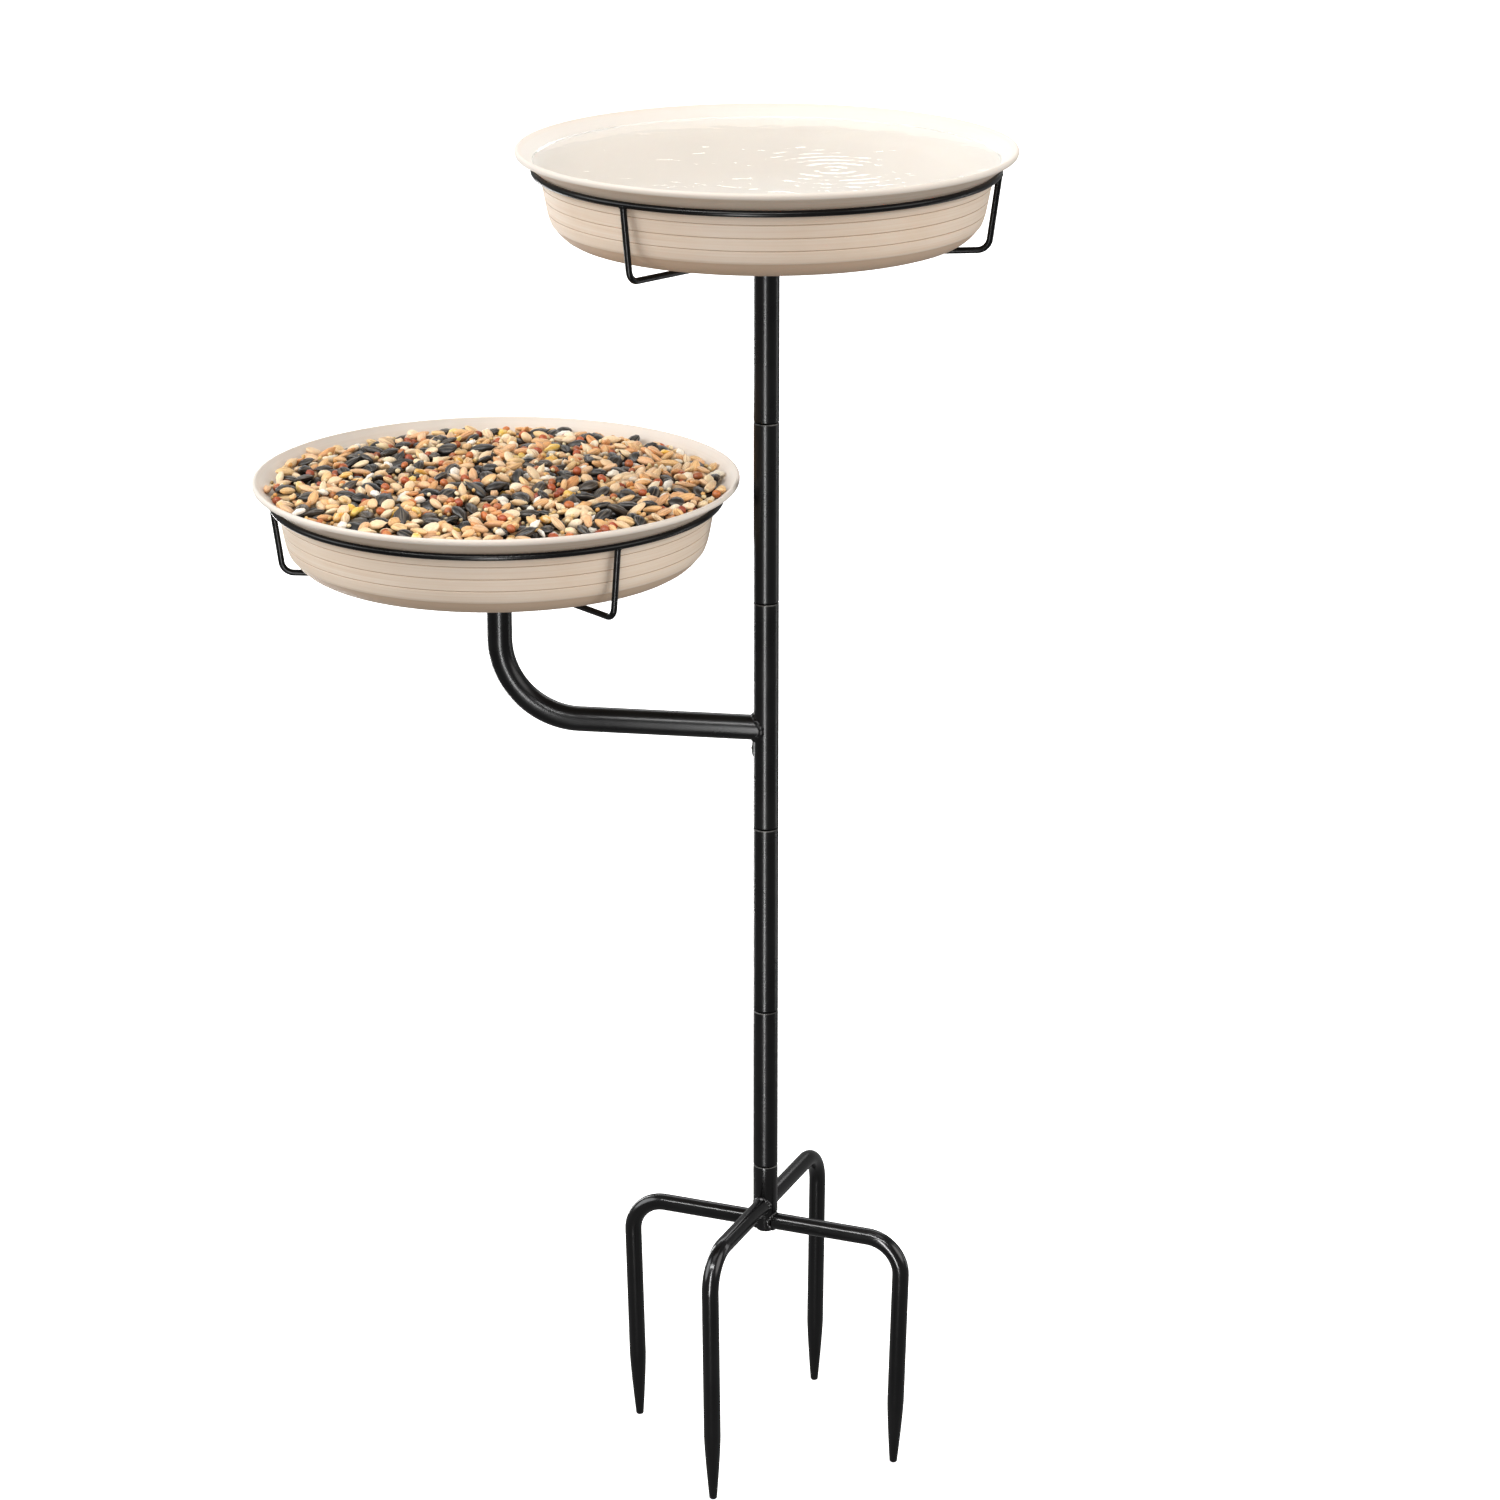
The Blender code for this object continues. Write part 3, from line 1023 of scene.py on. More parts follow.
@dataclass
class GroundFork:
    """The socket, its core and four bent prongs with blunt points, welded in two crossed pairs.

    Attributes:
        prong_radius: A prong's radius.
        tip_radius: Its radius at the point.
        bend_radius: The radius of its elbow.
        spread: How far its elbow's corner stands from the pole's axis.
        lean: How far the prongs lean in, in radians.
        taper: The length of the point.
        turn: How far the fork is turned on the pole's axis, in radians.
        socket_radius: The socket's outer radius.
        core_radius: The core's radius.
        bead: The radius of the weld beads.
    """

    prong_radius: float = 5.5 * MM
    tip_radius: float = 2.3 * MM
    bend_radius: float = 23.0 * MM
    spread: float = 95.5 * MM
    lean: float = math.radians(1.5)
    taper: float = 46.0 * MM
    turn: float = math.radians(-13.0)
    socket_radius: float = 8.0 * MM
    core_radius: float = 6.7 * MM
    bead: float = 1.25 * MM

    def socket(self) -> None:
        """Turns the socket, with both of its cut ends rounded."""
        low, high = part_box("hub_socket")
        outer, bore, soft = self.socket_radius, self.core_radius + 0.3 * MM, 0.4 * MM
        line = [(bore, low[2] + soft), (bore + soft, low[2]), (outer - soft, low[2])]
        line += [(outer - 0.1 * MM, low[2] + 0.12 * MM), (outer, low[2] + soft)]
        line += [(outer, high[2] - 1.0 * MM), (outer, high[2] - soft)]
        line.append((outer - 0.1 * MM, high[2] - 0.12 * MM))
        line += [(outer - soft, high[2]), (bore + 0.15 * MM, high[2]), (bore, high[2] - soft)]
        piece = turned("hub_socket_coated", [*line, line[0]], (0.0, 0.0), 64)
        top = high[2]
        # The top rim is painted grey: worn steel and a painted highlight.
        paint(
            piece,
            "wear",
            lambda co: 1.0 if co.z > top - 0.2 * MM and math.hypot(co.x, co.y) > bore else 0.0,
        )
        hand_over(piece, "ground_stake", BAR_COAT, ["hub_socket"])

    def core(self) -> None:
        """Turns the core rod, with a well rounded foot."""
        low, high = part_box("hub_core")
        soft = 3.2 * MM
        line = [(0.0, high[2]), (self.core_radius - 0.5 * MM, high[2])]
        line.append((self.core_radius, high[2] - 0.5 * MM))
        line += rounded(self.core_radius, low[2], -soft, 8)
        line += [(1.5 * MM, low[2]), (0.0, low[2])]
        piece = turned("hub_core_coated", line, (0.0, 0.0), 64)
        hand_over(piece, "ground_stake", BAR_COAT, ["hub_core"])

    def prong(self, name: str, node: str, angle: float, butt: float) -> None:
        """Draws one prong out of the hub, round its elbow and down to its point.

        Args:
            name: The new object's name.
            node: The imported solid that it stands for.
            angle: The way that it leaves the hub, round the pole's axis.
            butt: The radius of the part that it is welded to.
        """
        low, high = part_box(node)
        height = high[2] - self.prong_radius
        depth = low[2]
        start = Vector((butt - 0.5 * MM, 0.0, height))
        corner = Vector((self.spread, 0.0, height))
        down = Vector((-math.sin(self.lean), 0.0, -math.cos(self.lean)))
        tip = corner + down * ((height - depth) / math.cos(self.lean))
        back = setback(start, corner, tip, self.bend_radius)
        bar = Stroke.begin(name, start, Vector((1, 0, 0)), self.prong_radius, 36)
        bar.run((corner - start).length - back)
        bar.bend(down, self.bend_radius, 18)
        bar.run((tip - corner).length - back - self.taper)
        steps = 14
        for i in range(1, steps + 1):
            share = i / steps
            narrowing = share**1.3
            bar.run((self.taper - 1.1 * MM) / steps)
            bar.resize(
                self.prong_radius + (self.tip_radius + 0.25 * MM - self.prong_radius) * narrowing
            )
        bar.run(0.6 * MM).resize(self.tip_radius * 0.88)
        bar.run(0.35 * MM).resize(self.tip_radius * 0.6)
        bar.run(0.15 * MM).resize(self.tip_radius * 0.25)
        piece = bar.end()
        turn_about(piece, (0.0, 0.0), angle)
        hand_over(piece, "ground_stake", BAR_COAT, [node])
        way = Vector((math.cos(angle), math.sin(angle), 0.0))
        bead = WeldBead(
            Vector((0, 0, height)),
            Vector((0, 0, 1)),
            way,
            butt,
            self.prong_radius,
            self.bead,
            ripples=18,
        ).build(f"{name}_weld")
        hand_over(bead, "ground_stake", BAR_COAT)

    def build(self) -> None:
        """Builds the hub and the four prongs."""
        self.socket()
        self.core()
        right = self.turn
        for side, angle, butt in (
            ("front", right - math.pi / 2, self.socket_radius),
            ("back", right + math.pi / 2, self.socket_radius),
            ("right", right, self.core_radius),
            ("left", right + math.pi, self.core_radius),
        ):
            self.prong(f"{side}_prong_coated", f"prong_{side}", angle, butt)


# ---------------------------------------------------------------- cradles


@dataclass
class Cradle:
    """A wire ring on three bent legs that spread from a plug-in collar.

    Attributes:
        tier: "upper" or "lower".
        turn: Where its first leg points, in radians.
        ring_radius: The ring's radius, at the middle of the wire.
        wire: The wire's radius.
        slant: How far a leg's foot stands inside the ring.
        bend_radius: The radius of a leg's bend.
        wire_height: The height of the legs' feet over the tube's rim.
        corner_height: The height of the legs' corners over the tube's rim.
        plug: The length of the collar's spigot.
        radius: The radius of the tube that it plugs into.
        body: The body that carries it.
        axis: Where its axis stands, as x and y.
        stand: The height of the tube's rim.
        ring_height: The height of the ring, at the middle of the wire.
    """

    tier: str
    turn: float
    ring_radius: float = 141.0 * MM
    wire: float = 2.0 * MM
    slant: float = 6.0 * MM
    bend_radius: float = 8.0 * MM
    wire_height: float = 5.6 * MM
    corner_height: float = 11.13 * MM
    plug: float = 25.0 * MM
    radius: float = 8.0 * MM
    body: str = field(init=False)
    axis: Point = field(init=False)
    stand: float = field(init=False)
    ring_height: float = field(init=False)

    def __post_init__(self) -> None:
        """Takes the cradle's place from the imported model."""
        self.body = f"{self.tier}_cradle"
        low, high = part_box(f"{self.tier}_collar")
        self.axis = ((low[0] + high[0]) / 2, (low[1] + high[1]) / 2)
        self.stand = low[2] + self.plug
        low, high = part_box(f"{self.tier}_ring")
        self.ring_height = (low[2] + high[2]) / 2

    def collar(self) -> None:
        """Turns the collar: a domed cap over a plug."""
        low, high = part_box(f"{self.tier}_collar")
        inner, soft = self.radius - 1.3 * MM, 1.6 * MM
        top = high[2]
        line = [(0.0, low[2]), (inner - 0.4 * MM, low[2]), (inner, low[2] + 0.4 * MM)]
        line += [(inner, self.stand + 0.3 * MM), (self.radius - 0.3 * MM, self.stand + 0.3 * MM)]
        line.append((self.radius, self.stand + 0.6 * MM))
        line += rounded(self.radius, top - 0.25 * MM, soft, 6)
        line += [(3 * MM, top - 0.05 * MM), (0.0, top)]
        piece = turned(f"{self.tier}_collar_coated", line, self.axis, 56)
        hand_over(piece, self.body, WIRE_COAT, [f"{self.tier}_collar"])

    def ring(self) -> None:
        """Sweeps the wire once round the ring."""
        centre = Vector((self.axis[0], self.axis[1], self.ring_height))
        start = centre + Vector((0.0, self.ring_radius, 0.0))
        bar = Stroke.begin(f"{self.tier}_ring_coated", start, Vector((-1, 0, 0)), self.wire, 16)
        bpy.ops.mesh.spin(
            steps=216, angle=2 * math.pi, center=tuple(centre), axis=(0, 0, 1), use_auto_merge=True
        )
        piece = bar.end(closed=False)
        hand_over(piece, self.body, WIRE_COAT, [f"{self.tier}_ring"])

    def legs(self) -> None:
        """Draws one leg, copies it, and welds each to the ring and the collar."""
        base = Vector((self.axis[0], self.axis[1], self.stand))
        foot = base + Vector((self.radius - 0.6 * MM, 0.0, self.wire_height))
        corner = base + Vector((self.ring_radius - self.slant, 0.0, self.corner_height))
        top = Vector((self.axis[0] + self.ring_radius, self.axis[1], self.ring_height))
        upward = (top - corner).normalized()
        back = setback(foot, corner, top, self.bend_radius)
        bar = Stroke.begin(f"{self.tier}_leg_1_coated", foot, corner - foot, self.wire, 16)
        bar.run((corner - foot).length - back)
        bar.bend(upward, self.bend_radius, 12)
        bar.run((top - corner).length - back - 0.6 * self.wire)
        first = bar.end()
        others = [duplicate(first, f"{self.tier}_leg_{i}_coated") for i in (2, 3)]
        for i, piece in enumerate((first, *others)):
            angle = self.turn + 2 * math.pi * i / 3
            turn_about(piece, self.axis, angle)
            node = f"{self.tier}_leg_{i + 1}"
            hand_over(piece, self.body, WIRE_COAT, [node])
            way = Vector((math.cos(angle), math.sin(angle), 0.0))
            along = Vector((-math.sin(angle), math.cos(angle), 0.0))
            lift = Vector((0.0, 0.0, self.ring_height))
            middle = Vector((self.axis[0], self.axis[1], 0.0)) + way * self.ring_radius + lift
            rise = way * upward.x + Vector((0, 0, upward.z))
            ring_bead = WeldBead(
                middle, along, -rise, self.wire, self.wire, 0.55 * MM, ripples=8
            ).build(f"{self.tier}_leg_{i + 1}_top_weld")
            hand_over(ring_bead, self.body, WIRE_COAT)
            foot_bead = WeldBead(
                base + Vector((0, 0, self.wire_height)),
                Vector((0, 0, 1)),
                way,
                self.radius,
                self.wire,
                0.8 * MM,
                ripples=9,
            ).build(f"{self.tier}_leg_{i + 1}_foot_weld")
            hand_over(foot_bead, self.body, WIRE_COAT)

    def build(self) -> None:
        """Builds the collar, the ring and the legs."""
        self.collar()
        self.ring()
        self.legs()


# ---------------------------------------------------------------- trays


@dataclass
class Tray:
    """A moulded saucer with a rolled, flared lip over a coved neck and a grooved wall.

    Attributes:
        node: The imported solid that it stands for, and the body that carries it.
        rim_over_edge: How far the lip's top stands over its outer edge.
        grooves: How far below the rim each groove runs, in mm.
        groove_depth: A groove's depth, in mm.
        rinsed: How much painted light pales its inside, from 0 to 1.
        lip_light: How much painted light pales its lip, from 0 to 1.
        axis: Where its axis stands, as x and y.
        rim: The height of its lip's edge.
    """

    node: str
    rinsed: float = 0.0
    rim_over_edge: float = 1.08 * MM
    grooves: tuple[float, ...] = (20.4, 28.6, 36.4)
    groove_depth: float = 0.32
    lip_light: float = 0.7
    axis: Point = field(init=False)
    rim: float = field(init=False)

    # Where the lip's inner slope starts as (radius, below the rim), mm, and its fall per mm.
    LIP_START = (149.2, 0.3)
    LIP_SLOPE = 0.757
    # Outer wall as (below the rim, radius), mm, from the neck to the crease above the base.
    WALL = (
        *((14.0, 137.9), (25.0, 135.5), (33.0, 134.0)),
        *((38.0, 133.0), (42.0, 131.7), (44.0, 130.9)),
    )

    def __post_init__(self) -> None:
        """Takes the tray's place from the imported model."""
        low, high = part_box(self.node)
        self.axis = ((low[0] + high[0]) / 2, (low[1] + high[1]) / 2)
        self.rim = high[2] - self.rim_over_edge

    def wall_radius(self, below: float) -> float:
        """The outer wall's radius at a height below the rim, both in mm."""
        return float(np.interp(below, *zip(*self.WALL)))

    def outside(self) -> list[Point]:
        """Lists the outside's outline, from the middle of the base up to the lip.

        Returns:
            (radius, distance below the rim) of its points, in mm.
        """
        line = [(0.0, 53.2), (3.2, 53.2), (3.6, 53.5), (5.0, 53.5), (5.6, 53.0), (34.0, 53.0)]
        line += [(35.0, 53.5), (37.0, 53.5), (38.0, 53.0), (72.0, 53.0), (73.0, 53.5)]
        line += [(75.0, 53.5), (76.0, 53.0), (105.5, 53.0), (106.5, 53.3), (107.5, 54.0)]
        line += [(114.5, 54.0), (118.0, 53.8), (120.9, 52.9), (124.0, 51.1), (126.8, 48.6)]
        line += [(128.9, 46.2), (130.0, 44.75), (130.6, 44.2), (130.95, 43.7)]
        rows = {42.8, 41.0, 39.5, 33.0, 25.0, 17.0, 15.4}
        for groove in self.grooves:
            rows |= {groove + step for step in (-0.8, -0.45, -0.2, 0.0, 0.2, 0.45, 0.8)}
        cut = {0.0: 1.0, 0.2: 0.7}
        for below in sorted(rows, reverse=True):
            near = min(round(abs(below - groove), 2) for groove in self.grooves)
            depth = self.groove_depth * cut.get(near, 0.0)
            line.append((self.wall_radius(below) - depth, below))
        line += [(138.1, 13.6), (138.6, 12.3), (139.35, 11.1), (140.6, 10.1), (142.2, 9.0)]
        line += [(144.6, 7.2), (147.0, 5.55), (149.0, 4.3), (150.4, 3.5), (151.4, 3.0)]
        return line

    def lip(self) -> list[Point]:
        """(radius, below the rim), in mm, round the lip's rolled edge."""
        return [
            (152.05, 2.4),
            (152.4, 1.5),
            (152.5, 0.6),
            (152.3, -0.2),
            (151.8, -0.8),
            (151.1, -1.05),
            (150.4, -0.95),
            (149.8, -0.45),
            self.LIP_START,
        ]

    def inside(self) -> list[Point]:
        """(radius, below the rim), in mm, down the inner wall to the middle of the floor."""
        line = [(147.8, 1.6), (144.0, 4.5), (140.2, 7.35), (138.4, 8.7), (137.2, 9.9)]
        line += [(136.3, 11.3), (135.7, 13.0), (134.6, 18.5), (133.0, 26.5), (131.7, 33.6)]
        line += [(130.9, 39.6), (130.1, 42.4), (128.8, 44.7), (126.9, 47.0), (124.6, 49.0)]
        line += [(122.0, 50.5), (118.5, 51.4), (114.0, 51.6), (60.0, 51.6), (0.0, 51.6)]
        return line

    def at_height(self, line: Sequence[Point]) -> list[Point]:
        """Turns (radius, below the rim) in mm into (radius, height) in metres."""
        return [(radius * MM, self.rim - below * MM) for radius, below in line]

    def measure(self, spot: Vector) -> Point:
        """How far a place lies from the tray's axis and below its rim, in mm."""
        away = math.hypot(spot.x - self.axis[0], spot.y - self.axis[1]) / MM
        return away, (self.rim - spot.z) / MM

    def inner_radius(self, below: float) -> float:
        """The inner wall's radius at a height below the rim, both in mm."""
        inner = sorted((drop, radius) for radius, drop in self.inside())
        return float(np.interp(below, *zip(*inner)))

    def groove_shading(self, spot: Vector) -> float:
        """How deep in a wall groove a place lies, from 0 to 1: where painted shade goes."""
        away, below = self.measure(spot)
        if not 15.0 < below < 42.0 or away < self.wall_radius(below) - 1.2:
            return 0.0
        return min(max((self.wall_radius(below) - away) / self.groove_depth, 0.0), 1.0)

    def base_shading(self, spot: Vector) -> float:
        """Where painted shade goes: 1 on the outside of the base, under the wall's crease, else 0.
        """
        away, below = self.measure(spot)
        return float(below > 44.5 and (below > 52.0 or away > self.inner_radius(below) + 1))

    def light_painting(self, spot: Vector) -> float:
        """How much painted light pales a place, inside the tray and on the lip, from 0 to 1."""
        away, below = self.measure(spot)
        is_inside = 0.2 < below < 51.8 and away < self.inner_radius(below) + 0.3
        is_lip = below < 2.5
        return max(self.rinsed * float(is_inside), self.lip_light * float(is_lip))

    def build(self) -> None:
        """Turns the tray from its whole outline."""
        line = self.at_height([*self.outside(), *self.lip(), *self.inside()])
        piece = turned(f"{self.node}_moulded", line, self.axis, 160)
        finish = StonewarePlastic(
            f"moulded_stoneware_polypropylene_{self.node}", axis=self.axis, rim=self.rim
        )
        # Painted shade in the grooves and low on the base, and painted light inside and on the
        # lip.
        paint(piece, "groove", self.groove_shading)
        paint(piece, "blush", self.base_shading)
        paint(piece, "rinsed", self.light_painting)
        hand_over(piece, self.node, finish, [self.node])


@dataclass
class Water:
    """Water in the upper tray, filled to the lip's slope, with a few slow ripples.

    Attributes:
        tray: The tray that it stands in.
        level: How far below the rim its surface is, in mm.
        sunk: How far its sides reach into the plastic, in mm, so that no air shows between.
    """

    tray: Tray
    level: float = 6.2
    sunk: float = 0.5

    def build(self) -> None:
        """Turns the body of water and ripples its surface."""
        level = self.level
        radius, below = Tray.LIP_START
        shore = radius - (level - below) / Tray.LIP_SLOPE + self.sunk
        line = [(shore * i / 60, level) for i in range(60)]
        line += [(shore - 0.6, level - 0.15), (shore, level - 0.35)]
        line += [(138.7, 9.2), (136.8, 11.6), (136.2, 13.1), (133.5, 26.6), (132.2, 33.7)]
        line += [(131.4, 39.7), (129.2, 45.1), (125.0, 49.5), (122.2, 51.0), (114.0, 52.1)]
        line.append((0.0, 52.1))
        piece = turned("water", self.tray.at_height(line), self.tray.axis, 144)
        top = self.tray.rim - (level + 0.2) * MM
        spots = ((46.0, -30.0, 11.0, 0.16), (-60.0, 40.0, 17.0, 0.1), (20.0, 90.0, 23.0, 0.08))
        for vertex in piece.data.vertices:
            if vertex.co.z < top:
                continue
            x = (vertex.co.x - self.tray.axis[0]) / MM
            y = (vertex.co.y - self.tray.axis[1]) / MM
            calm = min(1.0, max(0.0, (shore - math.hypot(x, y)) / 12.0))
            rise = 0.0
            for cx, cy, length, height in spots:
                away = math.hypot(x - cx, y - cy)
                rise += height * math.cos(2 * math.pi * away / length) * math.exp(-away / 55.0)
            vertex.co.z += rise * calm * MM
        smooth(piece, 60.0)
        hand_over(piece, self.tray.node, ClearWater("clear_water"))


# ---------------------------------------------------------------- seeds


class GrainShape(Enum):
    """How a seed's master is modelled from a ball of 48 faces."""

    HULL = "pointed at one end, flat-sided"
    CREASED = "plump, with a crease along it"
    HEART = "a plain teardrop"
    BALL = "round, with a dimple"
    CHIP = "broken and angular"


@dataclass(frozen=True)
class Grain:
    """One kind of seed in the mix.

    Attributes:
        name: What it is.
        shape: How it is modelled.
        size: Half its length, width and thickness, in mm.
        spread: How much the size varies, as a share.
        share: How much of the mix it is, by count.
        skin: Its finish.
    """

    name: str
    shape: GrainShape
    size: tuple[float, float, float]
    spread: float
    share: float
    skin: GrainSkin

    def master(self) -> tuple[np.ndarray, list[tuple[int, ...]], np.ndarray]:
        """Models one seed of unit size, lying along X.

        Returns:
            Its vertices, its faces, and each vertex's place along and round it.
        """
        deselect_all()
        bpy.ops.mesh.primitive_uv_sphere_add(
            segments=8, ring_count=6, radius=1.0, rotation=(0.0, math.pi / 2, 0.0)
        )
        ball = named(bpy.context.object, f"{self.name}_master")
        apply_place(ball)
        with edit_mode(ball):
            self.shape_master(ball)
        points = np.array([vertex.co[:] for vertex in ball.data.vertices])
        faces = [tuple(face.vertices) for face in ball.data.polygons]
        points /= np.abs(points).max(axis=0)
        around = np.abs(np.arctan2(points[:, 1], points[:, 2])) / math.pi
        grain = np.stack([points[:, 0] * 0.5 + 0.5, around], axis=1)
        mesh = ball.data
        bpy.data.objects.remove(ball)
        bpy.data.meshes.remove(mesh)
        return points, faces, grain

    def shape_master(self, ball: bpy.types.Object) -> None:
        """Shapes the open ball into this kind of seed.

        Args:
            ball: The ball, in edit mode.
        """
        middle = (0.0, 0.0, 0.0)
        if self.shape in (GrainShape.HULL, GrainShape.HEART):
            for limit, share in ((-0.2, 0.86), (-0.6, 0.72), (-0.8, 0.8)):
                select_where(ball, lambda co, edge=limit: co.x < edge)
                bpy.ops.transform.resize(value=(1.0, share, share), center_override=middle)
            select_where(ball, lambda co: co.x < -0.9)
            bpy.ops.transform.translate(value=(-0.18, 0.0, 0.0))
        if self.shape is GrainShape.HULL:
            select_where(ball, lambda co: abs(co.y) < 0.1 and abs(co.x) < 0.7)
            bpy.ops.transform.resize(value=(1.0, 1.0, 1.14), center_override=middle)
        if self.shape is GrainShape.CREASED:
            select_where(ball, lambda co: co.z > 0.3 and abs(co.y) < 0.1)
            bpy.ops.transform.translate(value=(0.0, 0.0, -0.34))
            select_where(ball, lambda co: co.x < -0.6)
            bpy.ops.transform.resize(value=(1.0, 0.8, 0.8), center_override=middle)
        if self.shape is GrainShape.BALL:
            select_where(ball, lambda co: co.x > 0.95)
            bpy.ops.transform.translate(value=(-0.25, 0.0, 0.0))
        if self.shape is GrainShape.CHIP:
            select_where(ball, lambda co: co.x < -0.4 and co.z > 0.0)
            bpy.ops.transform.translate(value=(0.3, 0.0, -0.25))
            select_where(ball, lambda co: co.y > 0.4)
            bpy.ops.transform.resize(value=(0.9, 0.8, 0.7), center_override=middle)
            select_where(ball, lambda co: co.x > 0.6)
            bpy.ops.transform.resize(value=(0.9, 1.25, 1.2), center_override=middle)


SUNFLOWER = Grain(
    "sunflower_seeds",
    GrainShape.HULL,
    size=(8.7, 5.4, 3.1),
    spread=0.13,
    share=0.32,
    skin=GrainSkin(
        "sunflower_hull",
        shades=("#131212", "#1C1B1A", "#252321", "#3A3127", "#191817"),
        streak="#8E8374",
        streak_share=0.5,
        lines=5.0,
        roughness=0.42,
    ),
)
KERNEL = Grain(
    "oat_kernels",
    GrainShape.CREASED,
    size=(6.3, 3.0, 2.5),
    spread=0.16,
    share=0.42,
    skin=GrainSkin(
        "oat_and_wheat_bran",
        shades=("#F0BC80", "#F7D59B", "#E4A468", "#FAE6BF", "#ECB078"),
        streak="#96592A",
        streak_share=0.5,
        lines=4.0,
    ),
)
HEART = Grain(
    "sunflower_hearts",
    GrainShape.HEART,
    size=(6.3, 3.7, 2.4),
    spread=0.14,
    share=0.12,
    skin=GrainSkin(
        "sunflower_heart_skin",
        shades=("#F6DDB0", "#FCEDD0", "#EFC592", "#F8E0B8"),
        streak="#C7A673",
        streak_share=0.3,
        lines=3.0,
    ),
)
MILO = Grain(
    "milo_grains",
    GrainShape.BALL,
    size=(3.0, 2.8, 2.6),
    spread=0.12,
    share=0.09,
    skin=GrainSkin(
        "milo_hull",
        shades=("#C4622E", "#B0502C", "#D67E3E", "#9C482C", "#DE9250"),
        streak="#8A3416",
        streak_share=0.35,
        roughness=0.45,
    ),
)
CORN = Grain(
    "cracked_corn",
    GrainShape.CHIP,
    size=(4.9, 4.0, 2.9),
    spread=0.2,
    share=0.05,
    skin=GrainSkin(
        "cracked_corn_flint",
        shades=("#EFBE4A", "#F4CF62", "#E8A63C", "#F3DA8C"),
        streak="#FBF3D2",
        streak_share=0.6,
        lines=2.0,
        roughness=0.4,
    ),
)
FLAKE = Grain(
    "white_flakes",
    GrainShape.CHIP,
    size=(4.5, 3.5, 2.0),
    spread=0.2,
    share=0.03,
    skin=GrainSkin(
        "split_pea_and_rice",
        shades=("#F4EFE3", "#FBF8F0", "#E9E0CB"),
        streak="#D9CBAA",
        streak_share=0.35,
    ),
)
MILLET = Grain(
    "white_millet",
    GrainShape.BALL,
    size=(1.5, 1.35, 1.25),
    spread=0.12,
    share=0.0,
    skin=GrainSkin(
        "millet_hull",
        shades=("#EFDCA9", "#F6E9C6", "#E2C37E", "#D99A4E"),
        streak="#C79C55",
        streak_share=0.3,
        roughness=0.4,
    ),
)
MIX = (SUNFLOWER, KERNEL, HEART, MILO, CORN, FLAKE)


